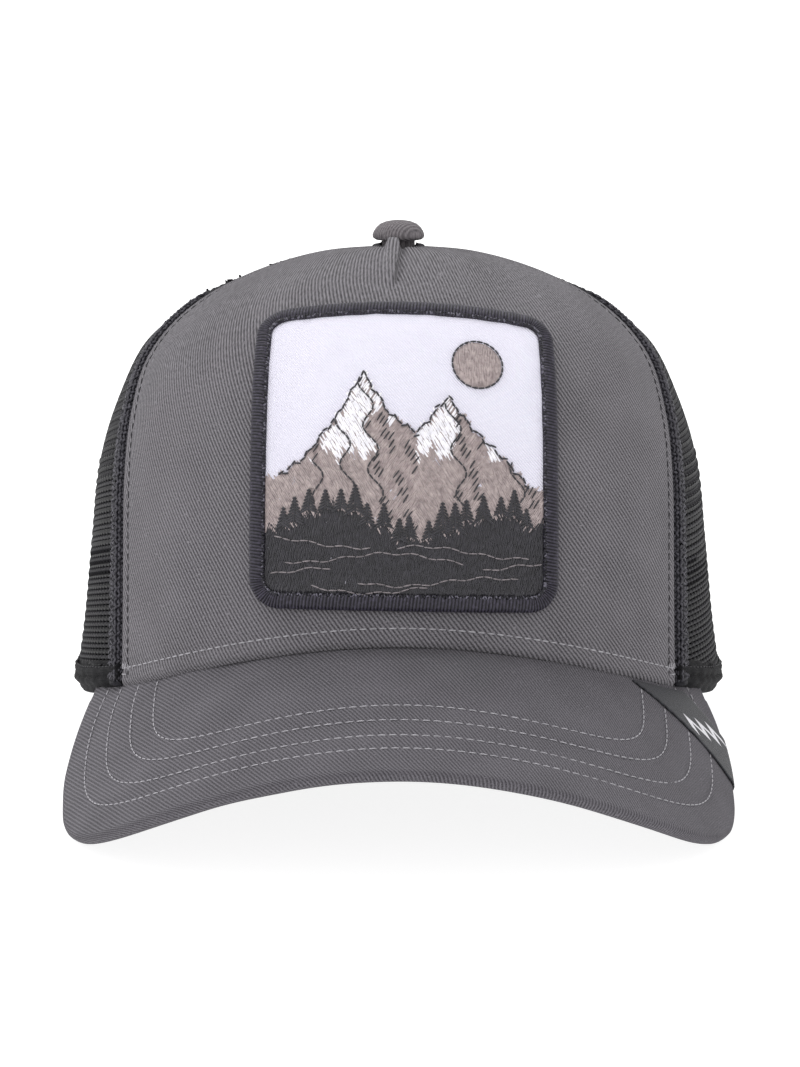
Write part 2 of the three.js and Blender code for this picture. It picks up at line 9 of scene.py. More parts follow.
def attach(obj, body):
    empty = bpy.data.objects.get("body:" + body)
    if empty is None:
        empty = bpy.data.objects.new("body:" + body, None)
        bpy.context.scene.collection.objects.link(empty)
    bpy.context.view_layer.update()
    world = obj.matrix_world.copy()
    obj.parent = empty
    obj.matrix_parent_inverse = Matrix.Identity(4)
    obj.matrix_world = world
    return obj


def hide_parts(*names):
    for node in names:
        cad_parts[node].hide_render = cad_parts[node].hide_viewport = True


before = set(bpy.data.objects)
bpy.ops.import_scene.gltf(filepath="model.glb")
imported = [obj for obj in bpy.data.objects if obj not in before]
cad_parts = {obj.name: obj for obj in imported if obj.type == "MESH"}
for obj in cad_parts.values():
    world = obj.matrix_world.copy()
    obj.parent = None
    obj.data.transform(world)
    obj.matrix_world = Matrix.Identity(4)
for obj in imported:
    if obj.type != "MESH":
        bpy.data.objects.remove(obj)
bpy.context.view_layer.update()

# Front panel: grey cotton twill on a stiff backing, cut in one piece from seam to seam, with a dart
# sewn down its top. The sides are turned under and topstitched in black, the lower edge in grey.
# The crown's shape is set out here in millimetres, upright over its rim, for all pieces on it.

# Height, half width, reach to the front, reach to the back, squareness, seam ahead of the middle.
CROWN = np.array([
    (0.0, 89.5, 101.0, 101.0, 2.1, 58.0),
    (20.0, 86.9, 99.5, 101.0, 2.12, 54.0),
    (42.0, 84.8, 97.0, 99.0, 2.16, 50.3),
    (62.0, 82.5, 93.5, 94.0, 2.2, 45.4),
    (80.0, 77.7, 88.5, 86.0, 2.2, 36.0),
    (95.0, 70.2, 81.5, 75.0, 2.16, 24.4),
    (107.0, 57.5, 71.0, 61.0, 2.1, 15.2),
    (115.5, 40.5, 53.0, 43.0, 2.05, 7.3),
    (120.8, 21.0, 27.0, 23.0, 2.0, 1.2),
    (122.5, 0.0, 0.0, 0.0, 2.0, 0.0),
])
CROWN_TOP = len(CROWN) - 1
PAST_TOP = np.where([1, 0, 0, 0, 0, 0], 2 * CROWN[-1] - CROWN[-2], -CROWN[-2])
PAST_TOP[4] = CROWN[-1][4]
CROWN_ROWS = np.vstack([2 * CROWN[0] - CROWN[1], CROWN, PAST_TOP])


def signed_power(value, power):
    return np.sign(value) * np.abs(value) ** power


def section(level):
    """The crown's section at a level, between the rows of its table, by Catmull-Rom curves."""
    inside = np.clip(level, 0, CROWN_TOP - 1e-9)
    row = np.floor(inside).astype(int)
    t = (inside - row)[..., None]
    before, start, end, after = (CROWN_ROWS[row + step] for step in range(4))
    bend = 2 * before - 5 * start + 4 * end - after
    twist = 3 * start - before - 3 * end + after
    return np.moveaxis(start + t / 2 * (end - before + t * (bend + t * twist)), -1, 0)


LEVELS = np.linspace(0, CROWN_TOP, 4001)
HEIGHTS, HALF_WIDTHS = section(LEVELS)[:2]
HOLE_RADIUS = 5.0
HOLE_LEVEL = np.interp(-HOLE_RADIUS, -HALF_WIDTHS[2000:], LEVELS[2000:])


def level_at(height):
    return np.interp(height, HEIGHTS, LEVELS)


def run_along(path):
    """The distance walked to each point of a path."""
    return np.insert(np.linalg.norm(np.diff(path, axis=0), axis=1).cumsum(), 0, 0)


def skin(angle, level):
    """A point of the crown's outer skin. Angle 0 is the front, a right angle the viewer's right."""
    height, half_width, front, back, squareness, _ = section(np.asarray(level, float))
    reach = np.where(np.cos(angle) > 0, front, back)
    across = half_width * signed_power(np.sin(angle), 2 / squareness)
    ahead = reach * signed_power(np.cos(angle), 2 / squareness)
    return np.stack(np.broadcast_arrays(across, -ahead, height), -1)


STEP = 0.004


def outward(angle, level):
    sideways = skin(angle + STEP, level) - skin(angle - STEP, level)
    upwards = skin(angle, np.minimum(level + STEP, CROWN_TOP)) - skin(angle, level - STEP)
    normal = np.cross(sideways, upwards)
    return normal / np.linalg.norm(normal, axis=-1, keepdims=True)


NET_SAG, SAG_GROWS, SAG_ENDS, SAG_TURN = 2.3, (4.9, 6.5), (8.45, 8.8), 0.18


def crown(angle, level, lift=0.0):
    """A point lifted off the skin along its normal. The net sags a little behind the panel's top."""
    sag = NET_SAG * smooth(level, *SAG_GROWS) * (1 - smooth(level, *SAG_ENDS))
    sag = sag * smooth(np.abs(angle) - seam_angle(level), 0, SAG_TURN)
    return skin(angle, level) + outward(angle, level) * np.asarray(lift - sag)[..., None]


def length_per_turn(angle, level):
    chord = skin(angle + STEP, level) - skin(angle - STEP, level)
    return np.linalg.norm(chord, axis=-1) / (2 * STEP)


def seam_angle(level):
    _, _, front, _, squareness, seam_ahead = section(np.asarray(level, float))
    ratio = np.clip(seam_ahead / np.maximum(front, 1e-6), 0, 1)
    return np.arccos(ratio ** (squareness / 2))


# The visor's board: flat, then bent round a cylinder that slopes down to the front.
VISOR_SLOPE = math.radians(20)
VISOR_BEND = 107.0
VISOR_RISE = 101 * math.sin(VISOR_SLOPE) + 22.8 * math.cos(VISOR_SLOPE)
VISOR_END = math.radians(68)
SEAM_GAP = 0.4


def visor(across, ahead, lift=0.0):
    """A point over the visor, from its place on the flat board."""
    bend = across / VISOR_BEND
    rise = VISOR_RISE - VISOR_BEND * (1 - np.cos(bend)) + lift * np.cos(bend)
    x = (VISOR_BEND + lift) * np.sin(bend)
    forward = ahead * math.cos(VISOR_SLOPE) + rise * math.sin(VISOR_SLOPE)
    height = rise * math.cos(VISOR_SLOPE) - ahead * math.sin(VISOR_SLOPE)
    return np.stack(np.broadcast_arrays(x, -forward, height), -1)


def visor_place(point, lift=0.0):
    """The place on the flat board straight above or below a point."""
    bend = np.arcsin(point[..., 0] / (VISOR_BEND + lift))
    rise = VISOR_RISE - VISOR_BEND * (1 - np.cos(bend)) + lift * np.cos(bend)
    ahead = (-point[..., 1] - rise * math.sin(VISOR_SLOPE)) / math.cos(VISOR_SLOPE)
    return VISOR_BEND * bend, ahead


def first_place(holds, count, high=float(CROWN_TOP)):
    """For each of count places, the lowest value from 0 to high where the test holds."""
    below, above = np.zeros(count), np.full(count, high)
    for _ in range(30):
        middle = (below + above) / 2
        passed = holds(middle)
        above, below = np.where(passed, middle, above), np.where(passed, below, middle)
    return above


def above_visor(point, gap=0.0):
    return point[..., 2] >= visor(*visor_place(point))[..., 2] + gap


# Height of the rim: on the visor in front, then down to the ground plane at the sides.
RIM_ANGLES = np.linspace(0, math.pi, 721)
ON_VISOR = RIM_ANGLES[RIM_ANGLES < VISOR_END]
RIM_FRONT = section(first_place(lambda tried: above_visor(skin(ON_VISOR, tried)), len(ON_VISOR)))[0]
RIM_FALL = np.clip(np.cos(RIM_ANGLES[len(ON_VISOR):]), 0, 1) / math.cos(VISOR_END)
RIM_HEIGHTS = np.concatenate([RIM_FRONT, RIM_FRONT[-1] * RIM_FALL ** 2])


def rim_height(angle):
    return np.interp(np.abs(angle), RIM_ANGLES, RIM_HEIGHTS)


def smooth(value, start, end):
    share = np.clip((value - start) / (end - start), 0, 1)
    return share * share * (3 - 2 * share)


def bell(distance, width):
    """1 at no distance, falling off within about a width on both sides."""
    return np.exp(-(distance / width) ** 2)


def waves(points, size, seed, count=9):
    """Smooth unevenness between about -1 and 1, with hollows about size apart."""
    random = np.random.default_rng(seed)
    way = random.normal(size=(points.shape[-1], count))
    way *= 2 * math.pi / size / np.linalg.norm(way, axis=0) * random.uniform(0.6, 1.3, count)
    return np.sin(points @ way + random.uniform(0, 2 * math.pi, count)).sum(-1) / math.sqrt(count)


# The hat leans back on its visor's corners: its turn and place are read off the button's axis.
BUTTON_TOP = 129.1
button_points = np.array([vertex.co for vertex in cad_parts["top_button"].data.vertices]) * 1000
button_middle = button_points.mean(0)
axes = np.linalg.eigh(np.cov(button_points.T))[1]
upright = axes[:, np.argmax(np.abs(axes[2]))]
upright = upright * np.sign(upright[2])
lean = math.atan2(upright[1], upright[2])
TURN = np.array(Matrix.Rotation(-lean, 3, "X"))
button_reach = ((button_points - button_middle) @ upright).max()
SHIFT = button_middle + upright * button_reach - TURN @ np.array([0, 0, BUTTON_TOP])


def settled(points):
    """Points of the upright hat in millimetres, as the hat stands, in metres."""
    return (points @ TURN.T + SHIFT) / 1000


def spots_of(shape):
    return np.array([vertex.co for vertex in shape.verts])


def sheet(columns, rows, place, flat=None):
    """A grid of cloth moved onto its place. Each point keeps its place on the flat cloth, which is
    given, or else is its arcs across and up."""
    shape = bmesh.new()
    bmesh.ops.create_grid(shape, x_segments=columns, y_segments=rows, size=0.5)
    shares = spots_of(shape)[:, :2] + 0.5
    points = place(shares[:, 0], shares[:, 1])
    if flat is not None:
        move(shape, points, flat(shares[:, 0], shares[:, 1]))
        return shape
    column, row = np.rint(shares * (columns, rows)).astype(int).T
    laid = np.zeros((rows + 1, columns + 1, 3))
    laid[row, column] = points
    across = np.linalg.norm(np.diff(laid, axis=1), axis=2).cumsum(1)
    across = np.insert(across, 0, 0, 1)
    across -= across[:, [columns // 2]]
    up = np.insert(np.linalg.norm(np.diff(laid, axis=0), axis=2).cumsum(0), 0, 0, 0)
    move(shape, points, np.stack([across[row, column], up[row, column]], -1))
    return shape


def move(shape, points, cloth=None):
    for vertex, point in zip(shape.verts, points):
        vertex.co = point
    if cloth is not None:
        layer = shape.verts.layers.float_vector.new("cloth")
        for vertex, (across, up) in zip(shape.verts, cloth):
            vertex[layer] = (across, up, 0)


def placed(name, data):
    """A new object in the scene, at the origin."""
    thing = bpy.data.objects.new(name, data)
    bpy.context.scene.collection.objects.link(thing)
    return thing


def made(name, shape, look):
    """Turns a shape in hat millimetres into a smooth piece where it lies on the hat."""
    mesh = bpy.data.meshes.new(name)
    points = settled(spots_of(shape))
    shape.to_mesh(mesh)
    shape.free()
    mesh.vertices.foreach_set("co", points.astype(np.float32).ravel())
    mesh.shade_smooth()
    mesh.materials.append(look)
    return placed(name, mesh)


def closed(shape, gap=0.01, fill=True, turned=True):
    """Joins a sheet's meeting edges, fills its open ends and turns its faces outward."""
    bmesh.ops.remove_doubles(shape, verts=shape.verts, dist=gap)
    if fill:
        open_ends = [edge for edge in shape.edges if edge.is_boundary]
        bmesh.ops.holes_fill(shape, edges=open_ends, sides=0)
    if turned:
        bmesh.ops.recalc_face_normals(shape, faces=shape.faces)
    return shape


def thicken(piece, thickness):
    """Gives a sheet its thickness, inwards from its outer face."""
    wall = piece.modifiers.new("wall", "SOLIDIFY")
    wall.thickness = thickness / 1000
    wall.offset = -1


class Value:
    """A socket of a material's nodes. Arithmetic on it adds Math nodes."""

    def __init__(self, tree, socket=None):
        self.tree = tree
        self.socket = socket

    def node(self, kind, settings, values, output=0):
        """Adds a node: first its settings, then its sockets' values or links."""
        node = self.tree.nodes.new(kind)
        for name, setting in settings.items():
            setattr(node, name, setting)
        for name, value in values.items():
            if isinstance(value, Value):
                self.tree.links.new(value.socket, node.inputs[name])
            else:
                node.inputs[name].default_value = value
        return Value(self.tree, node.outputs[output])

    def math(self, operation, *values):
        return self.node("ShaderNodeMath", {"operation": operation}, dict(enumerate(values)))

    def mix(self, factor, start, end):
        """A colour between two colours."""
        settings = {"data_type": "RGBA", "clamp_factor": True}
        return self.node("ShaderNodeMix", settings, {0: factor, 6: start, 7: end}, 2)

    def noise(self, place, size, detail=2.0):
        """Noise about 0.5, with blotches about size across in the place's own unit."""
        values = {"Vector": place, "Scale": 1 / size, "Detail": detail}
        return self.node("ShaderNodeTexNoise", {}, values)

    def __add__(self, other):
        return self.math("ADD", self, other)

    def __radd__(self, other):
        return self.math("ADD", other, self)

    def __sub__(self, other):
        return self.math("SUBTRACT", self, other)

    def __rsub__(self, other):
        return self.math("SUBTRACT", other, self)

    def __mul__(self, other):
        return self.math("MULTIPLY", self, other)

def paint(red, green, blue):
    """A colour given as it shows on a screen, from 0 to 255, as the shader takes it."""
    shown = np.array([red, green, blue]) / 255
    light = np.where(shown > 0.04045, ((shown + 0.055) / 1.055) ** 2.4, shown / 12.92)
    return (*light, 1.0)


def look(name, **constants):
    """A new material: its shader, and a Value on its nodes."""
    material = bpy.data.materials.new(name)
    material.use_nodes = True
    shader = material.node_tree.nodes["Principled BSDF"]
    for socket, constant in constants.items():
        shader.inputs[socket.replace("_", " ")].default_value = constant
    return material, shader, Value(material.node_tree)


def feed(nodes, shader, colour, height, depth, roughness=None):
    """Links a colour and a height to a shader; depth is the height's rise in millimetres."""
    nodes.tree.links.new(colour.socket, shader.inputs["Base Color"])
    bump = nodes.node("ShaderNodeBump", {}, {"Height": height, "Distance": depth / 1000})
    nodes.tree.links.new(bump.socket, shader.inputs["Normal"])
    if roughness is not None:
        nodes.tree.links.new(roughness.socket, shader.inputs["Roughness"])


def object_place(nodes):
    return nodes.node("ShaderNodeTexCoord", {}, {}, 3)


def cloth_place(nodes):
    """The place on the flat cloth, in millimetres, and its parts across and up."""
    place = nodes.node("ShaderNodeAttribute", {"attribute_name": "cloth"}, {}, 1)
    across = nodes.node("ShaderNodeSeparateXYZ", {}, {0: place}, 0)
    up = nodes.node("ShaderNodeSeparateXYZ", {}, {0: place}, 1)
    return place, across, up


def twill(name, groove, rib, pitch, rise, crisp=0.72):
    """Cotton twill: ribs that climb to the left at an angle of rise, each of short floats."""
    material, shader, nodes = look(
        name, Roughness=0.95, Specular_IOR_Level=0.18, Sheen_Weight=0.06, Sheen_Roughness=0.6)
    place, across, up = cloth_place(nodes)
    wander = nodes.noise(place, 11.0)
    turn = 2 * math.pi / pitch
    over = across * (math.sin(rise) * turn) + up * (math.cos(rise) * turn) + wander * 1.6
    ridge = over.math("SINE", over) * 0.5 + 0.5
    number = over.math("FLOOR", over * (1 / (2 * math.pi)) + 0.25)
    along = up * (math.sin(rise) * 4.4) - across * (math.cos(rise) * 4.4) + number * 2.1
    floats = along.math("SINE", along) * 0.5 + 0.5
    fibre = nodes.noise(place, 0.4, 3.0)
    fade = nodes.noise(place, 16.0)
    neps = nodes.math("GREATER_THAN", nodes.noise(place, 0.9, 0.0), 0.79)
    height = ridge * (0.86 + floats * 0.14) + fibre * 0.3
    tone = ridge * (crisp + floats * 0.14) + (1.04 - crisp) * 0.5 - 0.05
    tone = tone + (fibre - 0.5) * (2.5 - crisp) + (fade - 0.5) * 0.35 + neps * 0.6
    feed(nodes, shader, nodes.mix(tone, groove, rib), height, 0.2)
    return material


def spun(name, colour, pale, roughness=0.6):
    """Sewing thread: fine twist and a little unevenness in its tone. On the black casting and looper
    threads the pale colour is a painted highlight, so their brighter patches are painted glints.
    """
    material, shader, nodes = look(name, Roughness=roughness, Specular_IOR_Level=0.25)
    place = object_place(nodes)
    uneven = nodes.noise(place, 0.0016)
    twist = nodes.noise(place, 0.0003, 1.0)
    feed(nodes, shader, nodes.mix(uneven, colour, pale), twist, 0.05)
    return material


# One stitch, 1 long, wide and high: a rounded grain.
grain_shape = bmesh.new()
bmesh.ops.create_uvsphere(
    grain_shape, u_segments=6, v_segments=4, radius=0.5, matrix=Matrix.Rotation(math.pi / 2, 4, "Y"))
for vertex in grain_shape.verts:
    if 0.1 < abs(vertex.co.x) < 0.45:
        vertex.co.y *= 1.2
        vertex.co.z *= 1.2
GRAIN = spots_of(grain_shape)
grain = bpy.data.meshes.new("grain")
grain_shape.to_mesh(grain)
grain_shape.free()


def stitches(middles, ahead, facing, length, width, height, dip=0.25):
    """Threads that lie ahead on cloth facing up, with their ends drawn in by dip."""
    ahead = ahead / np.linalg.norm(ahead, axis=1, keepdims=True)
    facing = facing - ahead * (facing * ahead).sum(1, keepdims=True)
    facing /= np.linalg.norm(facing, axis=1, keepdims=True)
    side = np.cross(facing, ahead)
    length = np.broadcast_to(length, len(middles))
    along = GRAIN[None, :, :1] * length[:, None, None] * ahead[:, None]
    beside = GRAIN[None, :, 1:2] * width * side[:, None]
    over = (GRAIN[None, :, 2:] * height - dip * (2 * GRAIN[None, :, :1]) ** 2) * facing[:, None]
    points = middles[:, None] + along + beside + over
    shape = bmesh.new()
    for _ in middles:
        shape.from_mesh(grain)
    move(shape, points.reshape(-1, 3))
    return shape


def sewn(path, facing, pitch, length, width, height, dip=0.25):
    """A row of stitches along a path, a pitch apart."""
    run = run_along(path)
    middles = np.arange(pitch / 2, run[-1], pitch)

    def read(table, places):
        return np.stack([np.interp(places, run, column) for column in table.T], -1)

    ahead = read(path, middles + length / 2) - read(path, middles - length / 2)
    return stitches(read(path, middles), ahead, read(facing, middles), length, width, height, dip)


def together(shapes):
    """Several shapes as one."""
    whole = bmesh.new()
    for shape in shapes:
        part = bpy.data.meshes.new("part")
        shape.to_mesh(part)
        shape.free()
        whole.from_mesh(part)
        bpy.data.meshes.remove(part)
    return whole


DART_FROM, DART_HALF, DART_PROUD, DART_TAPER = 7.0, 2.15, 1.75, 0.3
# Of the panel's edges and stitching: the place of each row, how far edges roll in, and the depth,
# unevenness and reach of the dip along a row. Then the height and the size of the panel's swells.
SIDE_STITCH, HEM_STITCH, SIDE_ROLL, HEM_ROLL = 4.4, 5.0, 0.9, 0.9
STITCH_DIP, STITCH_PUCKER, SIDE_DIP_REACH, HEM_DIP_REACH = 0.3, 0.08, 0.8, 0.9
SWELL, SWELL_SIZE = 0.3, 34.0
THREAD_WIDTH, THREAD_HEIGHT = 0.42, 0.4
FRONT_THICKNESS = 2.0


# Level of the front panel's lower edge, from one seam, at -1, to the other, at 1.
SHARES = np.linspace(-1, 1, 201)
FRONT_BOTTOMS = first_place(
    lambda tried: above_visor(skin(SHARES * seam_angle(tried), tried), 1.6 * SEAM_GAP), len(SHARES))


def dart_middle(level):
    return -2.5 + 1.1 * smooth(level, DART_FROM, 8.5)


def dart(across, level):
    """Rise of the dart: a rounded fold, steep on its right side, that ends in a point below."""
    grown = 0.72 + 0.28 * smooth(level, DART_FROM, DART_FROM + DART_TAPER)
    place = (across - dart_middle(level)) / (DART_HALF * grown)
    ridge = smooth(place, -1.15, -0.6) * (1 - smooth(place, 0.62, 1.0)) * (1 - 0.15 * place * place)
    crease = bell(place - 1.15, 0.35) * 0.5
    knob = 1 + 0.55 * smooth(level, 8.15, 8.45)
    fades_in = smooth(level, DART_FROM - 0.1, DART_FROM + 0.15)
    return (ridge * DART_PROUD * grown * knob - crease) * fades_in


def front_lift(share, level):
    """How far the front panel's cloth stands off the plain skin."""
    angle = share * seam_angle(level)
    per_turn = length_per_turn(angle, level)
    from_seam = (1 - np.abs(share)) * seam_angle(level) * per_turn
    bottom = np.interp(share, SHARES, FRONT_BOTTOMS)
    point = skin(angle, level)
    from_edge = point[..., 2] - skin(share * seam_angle(bottom), bottom)[..., 2]
    dip = STITCH_DIP + STITCH_PUCKER * waves(point, 5.0, 3)
    rolled = SIDE_ROLL - 0.75 * smooth(level, 6.6, 8.0)
    lift = -rolled * bell(from_seam, SIDE_DIP_REACH) - HEM_ROLL * bell(from_edge, HEM_DIP_REACH)
    lift -= dip * bell(from_seam - SIDE_STITCH, SIDE_DIP_REACH)
    lift -= dip * bell(from_edge - HEM_STITCH, HEM_DIP_REACH)
    lift += SWELL * waves(point, SWELL_SIZE, 5) * smooth(from_seam, 4, 20) * smooth(from_edge, 4, 20)
    return lift + dart(point[..., 0], level)


def front_cloth(share, level, lift=0.0):
    return crown(share * seam_angle(level), level, front_lift(share, level) + lift)


def crowded(share, spots):
    """Spreads even shares so that they crowd at some spots: each a place, a width and a weight."""
    fine = np.linspace(0, 1, 2001)
    crowd = 1 + sum(weight * bell(fine - spot, width) for spot, width, weight in spots)
    run = np.insert(((crowd[1:] + crowd[:-1]) / 2).cumsum(), 0, 0)
    return np.interp(share, run / run[-1], fine)


# The sheet's columns crowd at the dart and the seams, its rows at the rim and the top.
COLUMN_CROWDS = ((0.485, 0.032, 9), (0, 0.025, 3), (1, 0.025, 3))
ROW_CROWDS = ((0, 0.03, 3), (1, 0.15, 1))


def front_shares(u, v):
    share = 2 * crowded(u, COLUMN_CROWDS) - 1
    bottom = np.interp(share, SHARES, FRONT_BOTTOMS)
    return share, bottom + (HOLE_LEVEL - bottom) * crowded(v, ROW_CROWDS)


def front_place(u, v):
    return front_cloth(*front_shares(u, v))


FRONT_CLIMB = run_along(skin(np.zeros(len(LEVELS)), LEVELS))
GRAIN_RATES = 1 - 0.5 * smooth((HEIGHTS[1:] + HEIGHTS[:-1]) / 2, 72, 106)
GRAIN_CLIMB = np.insert((np.diff(HEIGHTS) * GRAIN_RATES).cumsum(), 0, 0)


def front_flat(u, v):
    """Places on the flat panel, whose grain the dart and the blocking turn towards the top."""
    share, level = front_shares(u, v)
    angle = share * seam_angle(level)
    steps = 40
    turns = (np.arange(steps) + 0.5)[:, None] / steps * angle
    across = (length_per_turn(turns, level[None] + 0 * turns) * angle / steps).sum(0)
    height = section(level)[0]
    up = np.interp(level, LEVELS, GRAIN_CLIMB) + 0.0019 * across * (height - 50)
    up += 0.25 * np.maximum(0, height - 75) * smooth(across, -20, 40)
    from_dart = np.interp(level, LEVELS, FRONT_CLIMB) - np.interp(DART_FROM, LEVELS, FRONT_CLIMB)
    beside = across - dart_middle(level) - 0.8 * DART_HALF
    return np.stack([across + 0.07 * np.sign(beside) * np.maximum(0, from_dart), up], -1)


front_twill = twill("grey twill", paint(56, 54, 57), paint(127, 124, 129), 0.97, math.radians(53))
backing, shader, nodes = look("black backing", Roughness=0.95, Specular_IOR_Level=0.2)
place, across, up = cloth_place(nodes)
gauze = up.math("SINE", across * 4.2) * up.math("SINE", up * 4.2)
feed(nodes, shader, nodes.mix(gauze, paint(20, 20, 22), paint(34, 34, 37)), gauze, 0.1)
front_panel = made("front_cloth", sheet(176, 104, front_place, front_flat), front_twill)
front_panel.data.materials.append(backing)
thicken(front_panel, FRONT_THICKNESS)
front_panel.modifiers["wall"].material_offset = 1
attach(front_panel, "root")
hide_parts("front_panel")

black_thread = spun("black thread", paint(16, 16, 18), paint(44, 43, 48))
grey_thread = spun("grey thread", paint(122, 120, 125), paint(188, 186, 191))

# The rows along the sides are drawn tighter at the top.
side_rows = []
for side in (-1, 1):
    level = np.linspace(np.interp(side, SHARES, FRONT_BOTTOMS) + 0.18, 8.2, 400)
    angle = seam_angle(level)
    share = side * (1 - SIDE_STITCH / (angle * length_per_turn(angle, level)))
    path = front_cloth(share, level, 0.12 - 0.36 * smooth(level, 6.0, 6.9))
    facing = outward(share * angle, level)
    side_rows.append(sewn(path, facing, 2.8, 2.2, THREAD_WIDTH, THREAD_HEIGHT, 0.12))
side_topstitch = made("side_topstitch", together(side_rows), black_thread)
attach(side_topstitch, "root")

share = np.linspace(-0.985, 0.985, 900)
level = level_at(section(np.interp(share, SHARES, FRONT_BOTTOMS))[0] + HEM_STITCH)
facing = outward(share * seam_angle(level), level)
rim_row = sewn(front_cloth(share, level, 0.12), facing, 2.6, 2.1, THREAD_WIDTH, THREAD_HEIGHT, 0.12)
rim_topstitch = made("rim_topstitch", rim_row, grey_thread)
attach(rim_topstitch, "root")

tack_threads = []
for side in (-1, 1):
    tack_share = side * np.array([0.985, 0.976, 0.967, 0.958, 0.949, 0.965])
    tack_level = np.interp(side, SHARES, FRONT_BOTTOMS) + np.array([.3, .29, .31, .3, .28, .2])
    places = front_cloth(tack_share, tack_level, 0.15)
    ahead = np.array([(0, 0, 1), (0.2, 0, 1), (-0.2, 0, 1), (0.1, 0, 1), (0, 0, 1), (1, 0, 0.1)])
    facing = outward(tack_share * seam_angle(tack_level), tack_level)
    tack_threads.append(stitches(places, ahead * (side, 1, 1), facing, 2.0, 0.4, 0.4, 0.15))
corner_tacks = made("corner_tacks", together(tack_threads), grey_thread)
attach(corner_tacks, "root")

# Seam bands: the black doubled edge of the net, folded and overcast with black thread, beside the
# front panel and over the seams between the net panels at the sides and down the back.

BAND_WIDTH, BAND_PROUD, BAND_GAP, BAND_NARROWS, FOLD_THICKNESS = 6.4, 0.75, 0.04, 20, 0.5
SIDE_SEAM = math.radians(128)


def band_rise(level, sinks):
    """How far a band stands off the skin; one that sinks goes down behind the panel at its top."""
    return BAND_PROUD - 1.3 * sinks * smooth(level, 5.8, 7.2)


def band_angle(start, level, share):
    """The angle at a share of a band's width from its start. Bands narrow near the button."""
    narrow = np.minimum(1, section(level)[1] / BAND_NARROWS)
    return start + (BAND_GAP + share * BAND_WIDTH * narrow) / length_per_turn(start, level)


def band(angle_at, low, side=1, sinks=0.0):
    """A knobbly raised strip that starts at an angle of each level and runs backward."""
    def place(u, v):
        level = low + (HOLE_LEVEL - low) * v
        angle = band_angle(angle_at(level), level, u)
        round_top = np.sin(math.pi * np.clip(u, 0, 1)) ** 0.5
        knobs = waves(skin(angle, level), 1.6, 11)
        rise = band_rise(level, sinks)
        foot = np.where(u < 0.01, rise - 2.0, rise - 1.25)
        return crown(side * angle, level, foot + (rise + 0.35 * knobs - foot) * round_top)

    shape = sheet(12, 300, place)
    if side < 0:
        bmesh.ops.reverse_faces(shape, faces=shape.faces)
    return shape


def overcast(low, side, high, share, drop, slant, length, thread, pitch):
    """A column of slanted threads along a front seam's band, at a share of its width, a drop lower
    than its crest."""
    random = np.random.default_rng(int(pitch * 100))
    level = np.linspace(low, high, 600)
    middle = band_angle(seam_angle(level), level, share)
    path = crown(side * middle, level, BAND_PROUD - 0.1)
    run = run_along(path)
    spots = np.arange(pitch / 2, run[-1], pitch)
    way = np.where(np.arange(len(spots)) % 2, 1, -1)
    spots += random.uniform(-0.25, 0.25, len(spots))
    level, middle = np.interp(spots, run, level), np.interp(spots, run, middle)
    upward = skin(side * middle, level + 0.02) - skin(side * middle, level - 0.02)
    facing = outward(side * middle, level)
    upward /= np.linalg.norm(upward, axis=1, keepdims=True)
    tilt = slant * way + random.normal(0, 0.2, len(spots))
    ahead = upward * np.cos(tilt)[:, None] + np.cross(facing, upward) * np.sin(tilt)[:, None]
    lift = band_rise(level, 1.0) + 0.12 - drop - 0.45 * smooth(level, 6.1, 6.9)
    return stitches(crown(side * middle, level, lift), ahead, facing, length, thread, thread, 0.35)


def black_net(name, dark, light, shaded=0.0):
    """Black knitted polyester, a little dusty, with painted shade on the uprights between its ridges."""
    material, shader, nodes = look(name, Roughness=0.6, Specular_IOR_Level=0.16)
    place = object_place(nodes)
    knit = nodes.noise(place, 0.0005, 1.5)
    dust = nodes.noise(place, 0.012)
    grain_height = knit + nodes.noise(place, 0.0002, 1.0) * 0.5
    _, _, up = cloth_place(nodes)
    ridge = up.math("COSINE", (up + NET_MARGIN) * (2 * math.pi / NET_PITCH))
    # Painted shade: the ridge term darkens the uprights between the net's ridges and lightens the ridges,
    # weighted by shaded.
    tone = knit * 0.7 + dust * 0.5 - 0.1 + ridge * shaded
    feed(nodes, shader, nodes.mix(tone, dark, light), grain_height, 0.12)
    return material


# Of each column of thread: its end, share, drop and slant, and its threads' length, width and pitch.
CASTINGS = (
    (5.9, 0.03, 1.25, 0.7, 1.7, 0.7, 1.15), (6.1, 0.09, 0.55, 0.8, 1.9, 0.75, 1.25),
    (6.3, 0.24, 0.0, 0.6, 2.0, 0.75, 1.2), (6.5, 0.46, 0.0, 0.9, 2.0, 0.7, 1.35))
LOOPS = ((6.7, 0.68, 0.05, 0.8, 1.7, 0.5, 1.1), (6.7, 0.95, 0.25, 0.5, 1.7, 0.36, 1.7))
NET_PITCH, NET_COLUMN, NET_WALL, NET_CLOTH, NET_MARGIN = 2.9, 3.0, 0.55, 1.1, 35.0
band_net = black_net("folded net", paint(6, 6, 8), paint(44, 43, 49))
# Painted highlights: the pale colours of the black casting and looper threads stand for the light on their
# twisted strands.
casting_thread = spun("casting thread", paint(3, 3, 5), paint(84, 82, 90), 0.5)
looper_thread = spun("looper thread", paint(20, 19, 24), paint(116, 114, 122), 0.45)
for name, side in (("left", -1), ("right", 1)):
    low = np.interp(side, SHARES, FRONT_BOTTOMS) + 0.02
    seam_band = made(f"folded_edge_{name}", band(seam_angle, low, side, 1.0), band_net)
    thicken(seam_band, FOLD_THICKNESS)
    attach(seam_band, "root")
    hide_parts(f"seam_band_{name}")
    for kind, columns, thread in (
            ("overcast", CASTINGS, casting_thread), ("overcast_loops", LOOPS, looper_thread)):
        columns = [overcast(low + 0.05, side, *column) for column in columns]
        piece = made(f"{kind}_{name}", together(columns), thread)
        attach(piece, "root")

